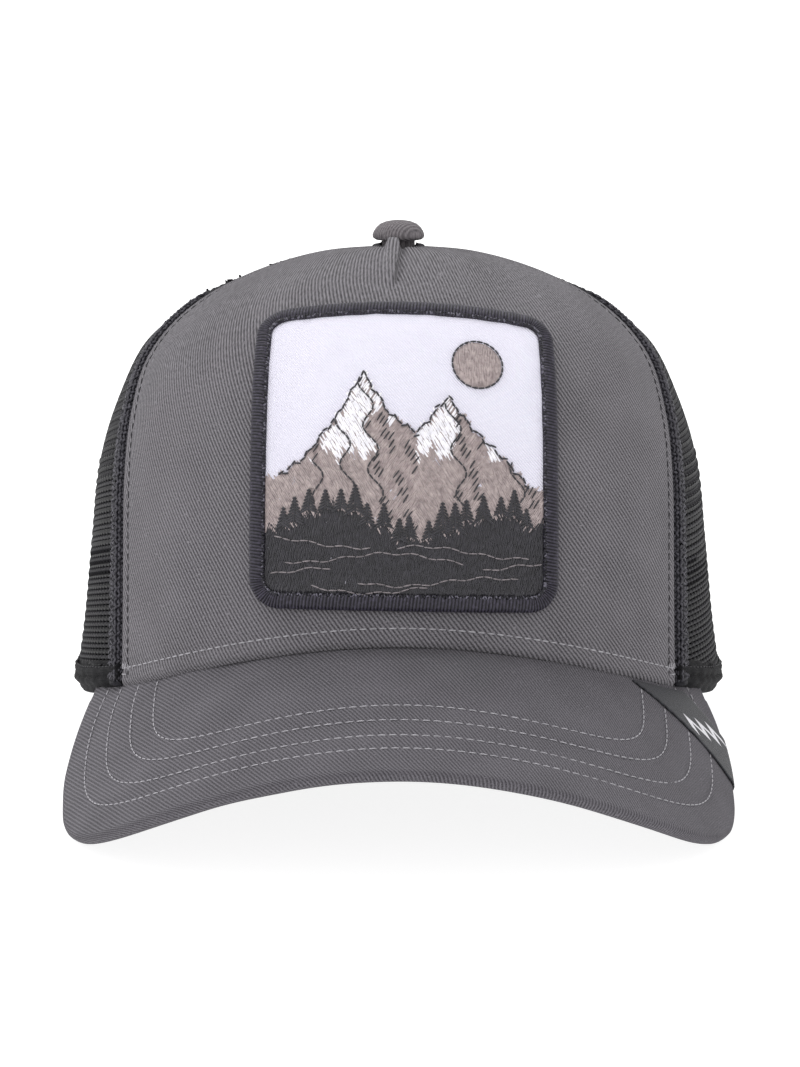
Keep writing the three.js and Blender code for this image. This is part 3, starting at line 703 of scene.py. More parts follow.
# Net panels: black polyester net with six-sided holes in staggered rows, on the sides and the back.
# Each panel is cut from one flat net, so its holes keep their size and are cut off at the seams.

HEM_TOP = 8.4
ARCH_HALF, ARCH_HEIGHT, ARCH_SQUARE, ARCH_FOOT = 36.0, 42.0, 2.4, 0.4
BINDING = 7.0


def back_angle(across, level):
    _, half_width, _, _, squareness, _ = section(level)
    share = np.clip(np.abs(across / half_width), 0, 1)
    return math.pi - np.sign(across) * np.arcsin(share ** (squareness / 2))


def arch_share(point, margin):
    """Under 1 inside the arch, grown by a margin."""
    sideways = np.abs(point[..., 0]) / (ARCH_HALF + margin)
    rise = np.maximum(0, point[..., 2] - ARCH_FOOT) / (ARCH_HEIGHT + margin)
    return (sideways ** ARCH_SQUARE + rise ** ARCH_SQUARE) ** (1 / ARCH_SQUARE)


def walk_round(angle, level, distance, steps=24):
    """The angle that a distance along the skin leads to."""
    for _ in range(steps):
        angle = angle + distance / steps / length_per_turn(angle, level)
    return angle


class NetPanel:
    """Where one panel's flat net lies on the crown: between two angles, above the hem."""

    def __init__(self, middle, front_angle, back_limit, side, tilts):
        self.middle, self.side, self.tilts = middle, side, tilts
        spine = skin(np.full(len(LEVELS), middle), LEVELS)
        self.climb = run_along(spine)
        turns = np.linspace(0, 1, 200)[:, None]
        self.reach = []
        for limit in (front_angle(LEVELS), np.full(len(LEVELS), back_limit)):
            angle = middle + (limit - middle) * turns
            arc = np.linalg.norm(np.diff(skin(angle, LEVELS[None]), axis=0), axis=2).sum(0)
            self.reach.append(np.sign(limit - middle) * arc)
        self.height = np.interp(HOLE_LEVEL, LEVELS, self.climb)

    def lay(self, flat, margin):
        """The skin angle and level of flat places, held inside the panel, and which ones are."""
        across, up = flat.T
        slope = np.interp(up, [0, self.height], self.tilts)
        up = up + across * slope
        inside = (up > 0) & (up < self.height)
        up = np.clip(up, 0, self.height)
        level = np.interp(up, self.climb, LEVELS)
        front, back = (np.interp(level, LEVELS, reach) for reach in self.reach)
        inside &= (across > front) & (across < back)
        across = np.clip(across, front + margin, np.maximum(back - margin, front + margin))
        angle = walk_round(self.middle, level, across)
        lowest = level_at(rim_height(angle) + HEM_TOP - 2 + margin)
        inside &= level > lowest
        level = np.maximum(level, lowest)
        point = skin(angle, level)
        hole = arch_share(point, BINDING - 2 + margin)
        in_arch = (hole < 1) & (np.cos(angle) < 0)
        inside &= ~in_arch
        out = 1 / np.maximum(hole, 0.05)
        height = np.where(in_arch, ARCH_FOOT + (point[:, 2] - ARCH_FOOT) * out, point[:, 2])
        pushed = level_at(height)
        angle = np.where(in_arch, back_angle(point[:, 0] * out, pushed), angle)
        return angle, np.where(in_arch, pushed, level), inside


# The zigzag of the net's ridges, their rise, that of the knots between them, and the holes' stretch.
RIDGE_ZIGZAG, RIDGE_RISE, KNOT_RISE, HOLE_STRETCH = 0.24, 0.25, -0.45, 1.3


def net(panel):
    """The holes are dissolved from a grid, inset for their walls and opened, then laid."""
    wide = max(abs(reach).max() for reach in panel.reach) + 4
    columns = 2 * math.ceil(2 * wide / NET_COLUMN)
    rows = math.ceil((panel.height + 2 * NET_MARGIN) / NET_PITCH)
    cells = np.array([NET_COLUMN / 2, NET_PITCH])
    shape = bmesh.new()
    bmesh.ops.create_grid(shape, x_segments=columns, y_segments=rows, size=0.5)
    spots = np.rint((spots_of(shape)[:, :2] + 0.5) * (columns, rows)).astype(int)
    flat = (spots - (columns / 2, 0)) * cells - (0, NET_MARGIN)
    flat[:, 1] += np.where(spots.sum(1) % 2 == 0, RIDGE_ZIGZAG, -RIDGE_ZIGZAG)
    for vertex, (across, up) in zip(shape.verts, flat):
        vertex.co = (across, up, 0)
    shape.verts.index_update()
    joined_edges = []
    for edge in shape.edges:
        start, end = (spots[vertex.index] for vertex in edge.verts)
        if start[0] == end[0] and (start[0] + min(start[1], end[1])) % 2 and len(edge.link_faces) == 2:
            joined_edges.append(edge)
    bmesh.ops.dissolve_edges(shape, edges=joined_edges, use_verts=False)
    flat = spots_of(shape)[:, :2]
    inside = panel.lay(flat, 0.0)[2]
    shape.verts.index_update()
    outside = [face for face in shape.faces if not any(inside[vertex.index] for vertex in face.verts)]
    bmesh.ops.delete(shape, geom=outside, context="FACES")
    ridges = len(shape.verts)
    uprights = [edge for edge in shape.edges if abs(edge.verts[0].co.y - edge.verts[1].co.y) > 1]
    bmesh.ops.subdivide_edges(shape, edges=uprights, cuts=1)
    knots = len(shape.verts)
    holes = list(shape.faces)
    bmesh.ops.inset_individual(shape, faces=holes, thickness=NET_WALL, use_even_offset=True)
    for hole in holes:
        middle = hole.calc_center_median()
        for vertex in hole.verts:
            vertex.co.x = middle.x + (vertex.co.x - middle.x) * HOLE_STRETCH
    bmesh.ops.delete(shape, geom=holes, context="FACES_ONLY")
    shape.verts.index_update()
    flat = spots_of(shape)[:, :2]
    knot = np.arange(len(flat)) < knots
    rise = np.where(np.arange(len(flat)) < ridges, RIDGE_RISE, np.where(knot, KNOT_RISE, 0.0))
    angle, level, _ = panel.lay(flat, np.where(knot, 0.0, NET_WALL))
    give = 0.2 * waves(np.stack([angle * 60, level * 14], -1), 30.0, 17)
    move(shape, crown(panel.side * angle, level, rise + give), flat)
    bmesh.ops.remove_doubles(shape, verts=shape.verts, dist=0.02)
    bmesh.ops.dissolve_degenerate(shape, edges=shape.edges, dist=0.01)
    if panel.side < 0:
        bmesh.ops.reverse_faces(shape, faces=shape.faces)
    return shape


def net_front(level):
    return seam_angle(level) + 2.0 / np.maximum(length_per_turn(seam_angle(level), level), 1)


def centred_band(seam, level):
    """The angle where a band starts whose middle lies on a seam."""
    return seam - BAND_WIDTH / 2 / length_per_turn(seam, level)


# The side and back net gets painted shade on its uprights; the folded bands get none.
net_cloth = black_net("net", paint(7, 7, 9), paint(36, 35, 39), 0.35)
for name, side, tilts in (("left", -1, (-0.12, -0.3)), ("right", 1, (0.0, 0.04))):
    side_panel = NetPanel(math.radians(88), net_front, SIDE_SEAM, side, tilts)
    side_net = made(f"net_side_{name}", net(side_panel), net_cloth)
    thicken(side_net, NET_CLOTH)
    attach(side_net, "root")
    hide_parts(f"side_net_{name}")
    back_panel = NetPanel(
        math.radians(155), lambda level: np.full(np.shape(level), SIDE_SEAM), math.pi, side, (0.0, 0.0))
    back_net = made(f"net_back_{name}", net(back_panel), net_cloth)
    thicken(back_net, NET_CLOTH)
    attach(back_net, "root")
    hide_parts(f"back_net_{name}")
    low = level_at(rim_height(SIDE_SEAM) + HEM_TOP - 3)
    flat_fold = band(lambda level: centred_band(SIDE_SEAM, level), low, side)
    fold = made(f"side_seam_{name}", flat_fold, band_net)
    thicken(fold, FOLD_THICKNESS)
    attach(fold, "root")

low = level_at(ARCH_FOOT + ARCH_HEIGHT + BINDING - 3)
back_fold = made("back_seam", band(lambda level: centred_band(math.pi, level), low), band_net)
thicken(back_fold, FOLD_THICKNESS)
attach(back_fold, "root")

# Rim hems: the net's lower edge, rolled over a black tape and sewn down, from the front seam round
# each side to the arch at the back.

HEM_HEIGHT, HEM_THICK, HEM_PROUD = 8.6, 4.6, 0.9


# Plain black tape: a fine even weave with a faint dusting of lint.
tape, shader, nodes = look("black tape", Roughness=0.75, Specular_IOR_Level=0.15)
place, across, up = cloth_place(nodes)
tape_turn = 2 * math.pi / 0.55
weave = across.math("SINE", across * tape_turn) * up.math("SINE", up * tape_turn) * 0.5 + 0.5
lint = nodes.noise(place, 1.3, 4.0)
tone = weave * 0.35 + lint * 0.8 - 0.2
feed(nodes, shader, nodes.mix(tone, paint(5, 5, 7), paint(27, 26, 30)), weave + lint, 0.1)


def hem(side):
    front_start = seam_angle(0.0) + 0.15 / 85
    back_end = back_angle(ARCH_HALF + BINDING - 1.5, np.array(0.2))

    def place(u, v):
        turn = 2 * math.pi * v
        rough = front_start + (back_end - front_start) * u
        bulge = signed_power(np.sin(turn), 0.8)
        bottom = rim_height(rough)
        level = level_at(bottom + HEM_HEIGHT * (0.5 + 0.5 * bulge))
        shift = seam_angle(level) - seam_angle(0.0)
        angle = rough + shift * (1 - u)
        crease = waves(np.stack([angle * 90, level * 6], -1), 7.0, 23)
        near = 0.5 + 1.2 * np.exp(-(u * 14) ** 2)
        low_down = np.clip(0.5 - 0.5 * bulge - 0.45, 0, 1) / 0.55
        lift = HEM_PROUD - HEM_THICK / 2 * (1 - signed_power(np.cos(turn), 0.8)) - 1.6 * low_down ** 2
        ridges = np.cos(math.pi * HEM_HEIGHT / NET_PITCH * (1 + bulge))
        lift = lift + (0.25 * crease * near + 0.42 * ridges) * (np.cos(turn) > -0.2)
        return crown(side * angle, level, lift)

    shape = closed(sheet(150, 44, place), turned=False)
    if side < 0:
        bmesh.ops.reverse_faces(shape, faces=shape.faces)
    return shape


for name, side in (("left", -1), ("right", 1)):
    rolled = made(f"rolled_hem_{name}", hem(side), tape)
    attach(rolled, "root")
    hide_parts(f"rim_hem_{name}")
    angle = np.linspace(seam_angle(0.0) + 0.03, back_angle(ARCH_HALF + BINDING, np.array(0.2)), 700)
    level = level_at(rim_height(angle) + HEM_HEIGHT - 1.6)
    path = crown(side * angle, level, HEM_PROUD * 0.75)
    row = sewn(path, outward(side * angle, level), 2.8, 2.3, THREAD_WIDTH, THREAD_HEIGHT, 0.1)
    hem_topstitch = made(f"hem_topstitch_{name}", row, black_thread)
    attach(hem_topstitch, "root")

# Arch binding: black tape folded over the net's edge round the opening at the back.

BINDING_PROUD, BINDING_UNDER = 0.9, 1.9


def arch_place(turn, out, lift):
    power = 2 / ARCH_SQUARE
    across = (ARCH_HALF + out) * signed_power(np.cos(turn), power)
    rise = (ARCH_HEIGHT + out) * signed_power(np.sin(turn), power)
    level = level_at(ARCH_FOOT + np.maximum(0, rise))
    return crown(back_angle(across, level), level, lift)


def binding_place(u, v):
    """Round the fold: over the outer face, round the edge of the opening and up the inner face."""
    turn = math.pi * (1 - u)
    fold = 2 * math.pi * v
    wide = BINDING / 2 * (1 - signed_power(np.cos(fold), 0.7))
    middle = (BINDING_PROUD - BINDING_UNDER) / 2
    lift = middle + (BINDING_PROUD + BINDING_UNDER) / 2 * signed_power(np.sin(fold), 0.5)
    return arch_place(turn, np.clip(wide, 0, BINDING), lift)


binding = made("folded_binding", closed(sheet(150, 24, binding_place)), tape)
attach(binding, "root")
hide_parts("arch_binding")
turn = np.linspace(0.02, math.pi - 0.02, 600)
path = arch_place(turn, BINDING - 1.5, BINDING_PROUD - 0.1)
above = arch_place(turn, BINDING - 1.5, BINDING_PROUD + 0.9)
binding_row = sewn(path, above - path, 2.8, 2.3, THREAD_WIDTH, THREAD_HEIGHT, 0.1)
binding_topstitch = made("binding_topstitch", binding_row, black_thread)
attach(binding_topstitch, "root")

# Snap strap: two flexible black plastic straps over each other across the arch. The inner one bears
# the studs, and the outer one, with the rounded end, has the holes that snap over them.

STRAP_LOW, STRAP_HIGH, STRAP_THICK, STRAP_INSET = 1.0, 19.0, 1.3, 2.3
STUD_PITCH, STUD_RADIUS, STUD_COUNT, STRAP_END, STRAP_GAP = 9.5, 2.4, 7, 24.0, 0.15
# Round each hole the strap's points move outward, the nearest are cut out and the next make its edge.
HOLE_CUT, HOLE_EDGE, HOLE_REACH = STUD_RADIUS + 0.2, STUD_RADIUS + 0.3, STUD_RADIUS + 0.9
STRAP_REACH = ARCH_HALF + BINDING - 0.5


def strap_place(across, height, lift):
    level = level_at(height)
    return crown(back_angle(across, level), level, lift)


plastic, shader, nodes = look("black plastic", Roughness=0.42, Specular_IOR_Level=0.45)
place = object_place(nodes)
scuff = nodes.noise(place, 0.004, 4.0)
pores = nodes.noise(place, 0.0004, 1.0)
feed(nodes, shader, nodes.mix(scuff, paint(20, 20, 22), paint(38, 38, 41)), pores, 0.02, scuff * 0.3 + 0.3)


def strap(start, end, lift, holes):
    """A band from start to end across the arch, cut with round holes, its free end rounded."""
    shape = bmesh.new()
    middle = (STRAP_LOW + STRAP_HIGH) / 2
    half = (STRAP_HIGH - STRAP_LOW) / 2
    length = abs(end - start)
    bmesh.ops.create_grid(shape, x_segments=int(length), y_segments=int(2 * half), size=0.5)
    for vertex in shape.verts:
        vertex.co = (start + (end - start) * (vertex.co.x + 0.5), middle + 2 * half * vertex.co.y, 0)
    for hole in holes:
        for vertex in shape.verts:
            offset = np.array([vertex.co.x - hole, vertex.co.y - middle])
            reach = np.linalg.norm(offset)
            if 1.7 < reach < HOLE_REACH:
                moved = offset / reach * max(reach, HOLE_EDGE)
                vertex.co.x, vertex.co.y = hole + moved[0], middle + moved[1]
        inner = [vertex for vertex in shape.verts
                 if math.hypot(vertex.co.x - hole, vertex.co.y - middle) < HOLE_CUT]
        bmesh.ops.delete(shape, geom=inner, context="VERTS")
    for vertex in shape.verts:
        from_end = abs(vertex.co.x - end)
        if from_end < half:
            limit = half * math.sqrt(max(0.0, 1 - (1 - from_end / half) ** 2.4))
            keep = max(limit, 0.25 * half) / half
            vertex.co.y = middle + (vertex.co.y - middle) * keep
    spots = spots_of(shape)
    move(shape, strap_place(spots[:, 0], spots[:, 1], lift))
    if end > start:
        bmesh.ops.reverse_faces(shape, faces=shape.faces)
    return shape


studs = [(number - (STUD_COUNT - 1) / 2) * STUD_PITCH for number in range(STUD_COUNT)]
inner_strap = made("stud_strap", strap(STRAP_REACH, -STRAP_END, -STRAP_INSET, []), plastic)
outer_lift = -STRAP_INSET + STRAP_THICK + STRAP_GAP
outer_strap = made("hole_strap", strap(-STRAP_REACH, STRAP_END, outer_lift, studs[1:6]), plastic)
stud_shapes = []
for across in studs:
    stud = bmesh.new()
    bmesh.ops.create_uvsphere(stud, u_segments=20, v_segments=12, radius=1.0)
    spots = spots_of(stud)
    proud = 0.9 + 1.1 * signed_power(spots[:, 2], 0.45)
    beside, height, _ = spots.T * (STUD_RADIUS - 0.15)
    height += (STRAP_LOW + STRAP_HIGH) / 2
    move(stud, strap_place(across + beside, height, -STRAP_INSET + np.maximum(proud, -1) * 0.85))
    bmesh.ops.recalc_face_normals(stud, faces=stud.faces)
    stud_shapes.append(stud)
strap_studs = made("strap_studs", together(stud_shapes), plastic)
for piece in (inner_strap, outer_strap):
    thicken(piece, STRAP_THICK)
    edge = piece.modifiers.new("edge", "BEVEL")
    edge.width, edge.segments, edge.limit_method = 0.00035, 2, "ANGLE"
for piece in (inner_strap, outer_strap, strap_studs):
    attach(piece, "root")
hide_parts("snap_strap")

# Sweatband: a folded black cotton band sewn inside the rim, from one side of the arch round the
# front to the other.

SWEAT_TALL, SWEAT_INSET, SWEAT_THICK = 30.0, 3.0, 1.2


def sweat_place(u, v):
    end = back_angle(ARCH_HALF + BINDING + 0.4, np.array(1.0))
    angle = -end + 2 * end * u
    beside = smooth(np.abs(angle), math.radians(62), math.radians(80))
    bottom = np.maximum(0, rim_height(angle) - 4.2 + 5.2 * beside)
    fold = 2 * math.pi * v
    rise = 0.5 - 0.5 * signed_power(np.cos(fold), 0.6)
    level = level_at(bottom + SWEAT_TALL * rise)
    pucker = waves(np.stack([angle * 90, level * 3], -1), 9.0, 31) * 0.25
    lift = -SWEAT_INSET - SWEAT_THICK / 2 * (1 + signed_power(np.sin(fold), 0.35)) - 0.25 + pucker
    return crown(angle, level, np.minimum(lift, -SWEAT_INSET + 0.1))


sweat = made("folded_sweatband", closed(sheet(260, 28, sweat_place)), tape)
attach(sweat, "root")
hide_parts("sweatband")

# Visor: a stiff curved board covered in the same twill, its edge rounded and turned under, with
# four rows of grey stitching that follow its edge, above and below.

VISOR_HALF, VISOR_LONG, VISOR_AHEAD, VISOR_SQUARE = 106.0, 73.5, 75.5, 2.35
VISOR_THICK = 3.5
VISOR_CORNER = math.radians(26)
# Shares of the sheet where its rounded edge starts, that the edge takes, and where the inside starts.
EDGE_START, EDGE_SHARE, INSIDE_START = 0.52, 0.12, 0.96
VISOR_ROWS = ((69.2, 39.2, 3.05), (77.2, 46.9, 2.8), (86.0, 54.8, 2.65), (94.9, 61.6, 2.48))


def oval(half_width, half_length, squareness, turn):
    across = half_width * signed_power(np.cos(turn), 2 / squareness)
    ahead = VISOR_AHEAD + half_length * signed_power(np.sin(turn), 2 / squareness)
    return across, ahead


def visor_row_distance(across, ahead, row):
    """About how far a place of the board is outside one of its rows of stitching."""
    half_width, half_length, squareness = row
    sideways = np.abs(across / half_width)
    forward = np.abs((ahead - VISOR_AHEAD) / half_length)
    share = (sideways ** squareness + forward ** squareness) ** (1 / squareness)
    return (share - 1) * np.hypot(across, ahead - VISOR_AHEAD) / np.maximum(share, 0.1)


def visor_relief(across, ahead):
    """The stitching draws the cloth in a little."""
    spots = np.stack([across, ahead], -1)
    relief = 0.12 * waves(spots, 26.0, 41)
    for number, row in enumerate(VISOR_ROWS):
        drawn = 0.2 + 0.06 * waves(spots, 5.0, 43 + number)
        relief -= drawn * bell(visor_row_distance(across, ahead, row), 0.8)
    return relief


def visor_board(u, v):
    """Rows of the sheet run out over the top, round the edge and back underneath."""
    angle = (2 * u - 1) * VISOR_END
    beside = smooth(np.abs(angle), math.radians(20), math.radians(55))
    tuck = 2.4 + (1.1 - 2.4) * beside
    radius = VISOR_THICK / 2
    stops = [0, EDGE_START, EDGE_START + EDGE_SHARE, INSIDE_START, 1]
    out = np.interp(v, stops, [0, 1, 1, 0, 0])
    round_edge = math.pi * np.clip((v - EDGE_START) / EDGE_SHARE, 0, 1)
    lift = -radius * (1 - signed_power(np.cos(round_edge), 0.75))
    lift = np.where(v > INSIDE_START, -VISOR_THICK * np.interp(v, [INSIDE_START, 1], [1, 0]), lift)
    inner_across, inner_ahead = visor_place(crown(angle, level_at(rim_height(angle)), -tuck), lift)
    turn = math.pi + VISOR_CORNER - (math.pi + 2 * VISOR_CORNER) * u
    edge = -radius * (1 - signed_power(np.sin(round_edge), 0.6))
    outer_across, outer_ahead = oval(VISOR_HALF + edge, VISOR_LONG + edge, VISOR_SQUARE, turn)
    across = inner_across + (outer_across - inner_across) * out
    ahead = inner_ahead + (outer_ahead - inner_ahead) * out
    return across, ahead, lift


def visor_cloth_place(u, v):
    """Where a point of the visor lies on its flat cloth, unrolled past the edge and mirrored."""
    across, ahead, _ = visor_board(u, v)
    middle = EDGE_START + EDGE_SHARE / 2
    edge_across, edge_ahead, _ = visor_board(u, np.full_like(v, middle))
    over = np.stack([edge_across - across, edge_ahead - ahead], -1)
    turn = math.pi + VISOR_CORNER - (math.pi + 2 * VISOR_CORNER) * u
    out = np.stack([np.cos(turn), np.sin(turn)], -1)
    rolled = np.clip((v - EDGE_START) / EDGE_SHARE, 0, 1) * math.pi * VISOR_THICK / 2
    place = np.stack([across, ahead], -1) + out * rolled[:, None]
    place = np.where(v[:, None] > middle, place + 2 * over, place)
    return place * (1, -1)


def visor_surface(u, v):
    across, ahead, lift = visor_board(u, v)
    relief = visor_relief(across, ahead)
    return visor(across, ahead, lift + np.where(v < 0.56, relief, -relief))


visor_shape = closed(sheet(240, 90, visor_surface, visor_cloth_place))
visor_twill = twill("visor twill", paint(50, 48, 52), paint(107, 104, 110), 0.95, math.radians(63), 0.62)
visor_piece = made("visor_cloth", visor_shape, visor_twill)
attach(visor_piece, "root")
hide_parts("visor")

visor_rows = []
for under in (False, True):
    for row in VISOR_ROWS:
        across, ahead = oval(*row, np.linspace(math.pi + 0.5, -0.5, 1200))
        lift = -VISOR_THICK - 0.02 if under else 0.02
        points = visor(across, ahead, lift)
        clear = np.abs(points[:, 0] / 88) ** 2.1 + np.abs(points[:, 1] / 99.5) ** 2.1 > 1
        clear &= (across / VISOR_HALF) ** 2 < 1
        facing = visor(across, ahead, lift + (-1 if under else 1)) - points
        visor_rows.append(sewn(points[clear], facing[clear], 2.8, 2.3, 0.38, 0.36, 0.12))
visor_topstitch = made("visor_topstitch", together(visor_rows), grey_thread)
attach(visor_topstitch, "root")

# Visor tag: a black satin ribbon from the crown seam over the visor's right edge and a little way
# under it, with a plain zigzag woven across it in white.

TAG_ACROSS, TAG_AHEAD, TAG_TURN, TAG_WIDTH = 60.0, 65.1, math.radians(9.4), 18.8
TAG_GAP, TAG_CLOTH, TAG_LAP = 0.2, 0.5, 9.0
TAG_TOP, TAG_BEND = 0.6, 0.76


def tag_place(along, width):
    across = TAG_ACROSS + along * math.cos(TAG_TURN) + width * math.sin(TAG_TURN)
    return across, TAG_AHEAD + along * math.sin(TAG_TURN) - width * math.cos(TAG_TURN)


def tag_surface(u, v):
    width = TAG_WIDTH * u

    def clear_of_crown(along):
        point = visor(*tag_place(along, width))
        _, half_width, front, _, squareness, _ = section(level_at(point[:, 2]))
        sideways = np.abs(point[:, 0] / (half_width + 0.4)) ** squareness
        return sideways + np.abs(point[:, 1] / (front + 0.4)) ** squareness >= 1

    def past_edge(along):
        across, ahead = tag_place(along, width)
        forward = np.abs((ahead - VISOR_AHEAD) / VISOR_LONG) ** VISOR_SQUARE
        return np.abs(across / VISOR_HALF) ** VISOR_SQUARE + forward >= 1

    start = first_place(clear_of_crown, len(u), 40.0)
    edge = first_place(past_edge, len(u), 60.0)
    radius = VISOR_THICK / 2
    bend = math.pi * np.clip((v - TAG_TOP) / (TAG_BEND - TAG_TOP), 0, 1)
    above = start + (edge - radius - start) * v / TAG_TOP
    below = edge - radius - (TAG_LAP - radius) * (v - TAG_BEND) / (1 - TAG_BEND)
    along = np.where(v < TAG_TOP, above, edge - radius + radius * np.sin(bend))
    along = np.where(v > TAG_BEND, below, along)
    off = TAG_GAP + TAG_CLOTH
    lift = off * np.cos(bend) - radius * (1 - np.cos(bend))
    reach = along + off * np.sin(bend)
    return visor(*tag_place(reach, width), lift)


tag_shape = sheet(24, 60, tag_surface)
bmesh.ops.reverse_faces(tag_shape, faces=tag_shape.faces)
ribbon, shader, nodes = look("black ribbon", Roughness=0.5, Specular_IOR_Level=0.3)
place, across, up = cloth_place(nodes)
cord_turn = 2 * math.pi / 0.42
cords = across.math("SINE", across * cord_turn) * 0.5 + 0.5
ticks = up.math("SINE", up * cord_turn * 0.5 + cords * 2.0) * 0.5 + 0.5
zigzag = up.math("ABSOLUTE", up.math("WRAP", across, 2.4, -2.4)) * 2.5 + 14.0
mark = 1 - nodes.math("GREATER_THAN", up.math("ABSOLUTE", up - zigzag), 1.9)
mark = mark * nodes.math("LESS_THAN", up.math("ABSOLUTE", across), 7.2)
ground = nodes.mix(cords * 0.6 + ticks * 0.3, paint(30, 30, 33), paint(66, 66, 71))
white_weft = nodes.mix(ticks * 0.8, paint(208, 207, 212), paint(240, 239, 243))
feed(nodes, shader, nodes.mix(mark, ground, white_weft), cords + ticks * 0.6 + mark, 0.08)
tag = made("ribbon_tag", tag_shape, ribbon)
thicken(tag, TAG_CLOTH)
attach(tag, "root")
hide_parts("visor_tag")

# Button: a metal dome covered in the twill, whose cloth is gathered under its rim, riveted through
# the top of the crown with a washer inside.

BUTTON_PROFILE = (
    (0.0, 129.1), (1.6, 129.05), (3.4, 128.75), (5.0, 128.1), (6.1, 127.1), (6.75, 126.0), (7.0, 125.1),
    (6.9, 124.3), (6.3, 123.8), (5.4, 123.6), (4.4, 123.7), (4.4, 118.4), (6.6, 118.4), (6.6, 117.4),
    (0.0, 117.4),
)
button_shape = bmesh.new()
ring = [button_shape.verts.new((radius, 0, height)) for radius, height in BUTTON_PROFILE]
profile_edges = [button_shape.edges.new(pair) for pair in zip(ring, ring[1:])]
bmesh.ops.spin(
    button_shape, geom=ring + profile_edges, axis=(0, 0, 1), cent=(0, 0, 0), angle=2 * math.pi,
    steps=72, use_merge=True)
closed(button_shape, 0.001, fill=False)
spots = spots_of(button_shape)
turn = np.arctan2(spots[:, 1], spots[:, 0])
low_down = smooth(spots[:, 2], 127.6, 124.2) * (spots[:, 2] > 121)
gathers = np.sin(17 * turn + 1.3 * np.sin(3 * turn)) + 0.5 * np.sin(29 * turn + 1)
swell = 1 + low_down * (0.022 * gathers) + 0.012 * np.sin(2 * turn + 0.6)
spots[:, :2] *= swell[:, None]
move(button_shape, spots, spots[:, :2])
button_twill = twill("button twill", paint(80, 76, 79), paint(126, 121, 124), 0.75, math.radians(135), 0.5)
button = made("covered_button", button_shape, button_twill)
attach(button, "root")
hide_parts("top_button")

# Patch border: black overlocking thread wound closely round the patch's edge, with a toothed inner
# side. Places on the patch are walked over the panel from its middle, so that its size is true.

PATCH_HALF, PATCH_TALL, PATCH_CORNER, PATCH_CENTRE, PATCH_OFFSET = 40.8, 41.9, 8.0, 75.3, 1.9
PATCH_GAP, BORDER_WIDE, BORDER_HIGH = 0.35, 4.2, 2.4


def front_at(across, height, lift):
    """A point of the front by its place across and its height."""
    level = level_at(height)
    _, half_width, _, _, squareness, _ = section(level)
    angle = np.sign(across) * np.arcsin(np.abs(across / half_width) ** (squareness / 2))
    return crown(angle, level, lift)


def walk(point_at, start, distance, steps=12):
    place = start
    for _ in range(steps):
        stride = np.linalg.norm(point_at(place + 0.5) - point_at(place - 0.5), axis=-1)
        place = place + distance / steps / stride
    return place


def patch(across, up, lift=0.0):
    """A point on the patch from its place on it: sewn on a little askew, its top bowed."""
    wide, tall = across / PATCH_HALF, 0.5 + 0.5 * up / PATCH_TALL
    drop = tall * (4.2 * wide ** 2 + 1.1 * wide) + (1 - tall) * (0.7 + 0.8 * wide + 0.9 * wide ** 2)
    across, up = across * (1 - 0.05 * np.clip(tall, 0, 1.2) ** 4) - 0.4 * (1 - tall), up - drop
    x = walk(lambda place: front_at(place, np.full(np.shape(place), PATCH_CENTRE), 0.0),
             np.full(np.shape(across), PATCH_OFFSET), across)
    height = walk(lambda place: front_at(x, place, 0.0), np.full(np.shape(up), PATCH_CENTRE), up)
    return front_at(x, height, lift)


def border_line(run, inset):
    """The patch's outline at shares of the way round it, a little inside its edge."""
    wide, tall, corner = PATCH_HALF - PATCH_CORNER, PATCH_TALL - PATCH_CORNER, PATCH_CORNER
    arc = math.pi / 2 * corner
    lengths = np.array([2 * tall, arc, 2 * wide, arc] * 2)
    ends = np.insert(lengths.cumsum(), 0, 0)
    distance = (run % 1.0) * ends[-1]
    part = np.clip(np.searchsorted(ends, distance, side="right") - 1, 0, 7)
    along = (distance - ends[part]) / lengths[part]
    quarter = part // 2
    bend = np.where(part % 2 == 1, along, 0.0)
    straight = np.where(part % 2 == 0, along, 1.0)
    centres = np.array([(1, -1, 0, 1), (1, 1, -1, 0), (-1, 1, 0, -1), (-1, -1, 1, 0)])[quarter]
    turn = (quarter + bend) * math.pi / 2
    x = (centres[:, 0] + 2 * centres[:, 2] * straight) * wide
    y = (centres[:, 1] + 2 * centres[:, 3] * straight) * tall
    return x + (corner - inset) * np.cos(turn), y + (corner - inset) * np.sin(turn)


WRAPS, WRAP_SLANT, TEETH = 360, 0.35, 118


def border_place(u, v):
    """Round the wound edge: v goes over it from outside to inside and back beneath."""
    turn = 2 * math.pi * v
    slant = WRAP_SLANT * np.cos(turn) / WRAPS
    thread = np.abs(np.sin(math.pi * WRAPS * (u + slant)))
    uneven = waves(np.stack([np.cos(2 * math.pi * u), np.sin(2 * math.pi * u)], -1) * 50, 2.1, 51)
    over = np.clip(np.sin(turn), 0, 1)
    tooth = (np.abs(((u * TEETH) % 1) - 0.5) * 2) ** 1.2
    inner = np.clip(-np.cos(turn), 0, 1)
    inset = BORDER_WIDE / 2 * (1 - signed_power(np.cos(turn), 0.75)) - inner * 0.75 * tooth * over ** 0.3
    inset -= 0.16 * thread * np.clip(np.cos(turn), 0, 1)
    across, up = border_line(u, inset)
    lift = PATCH_GAP + BORDER_HIGH / 2 * (1 + signed_power(np.sin(turn), 0.85))
    lift = lift + (0.38 * thread + 0.1 * uneven) * over
    return patch(across, up, lift)


def border_cloth(u, v):
    """Counts the wraps round the patch, and the way over each."""
    return np.stack([WRAPS * (u + WRAP_SLANT * np.cos(2 * math.pi * v) / WRAPS), v], -1)


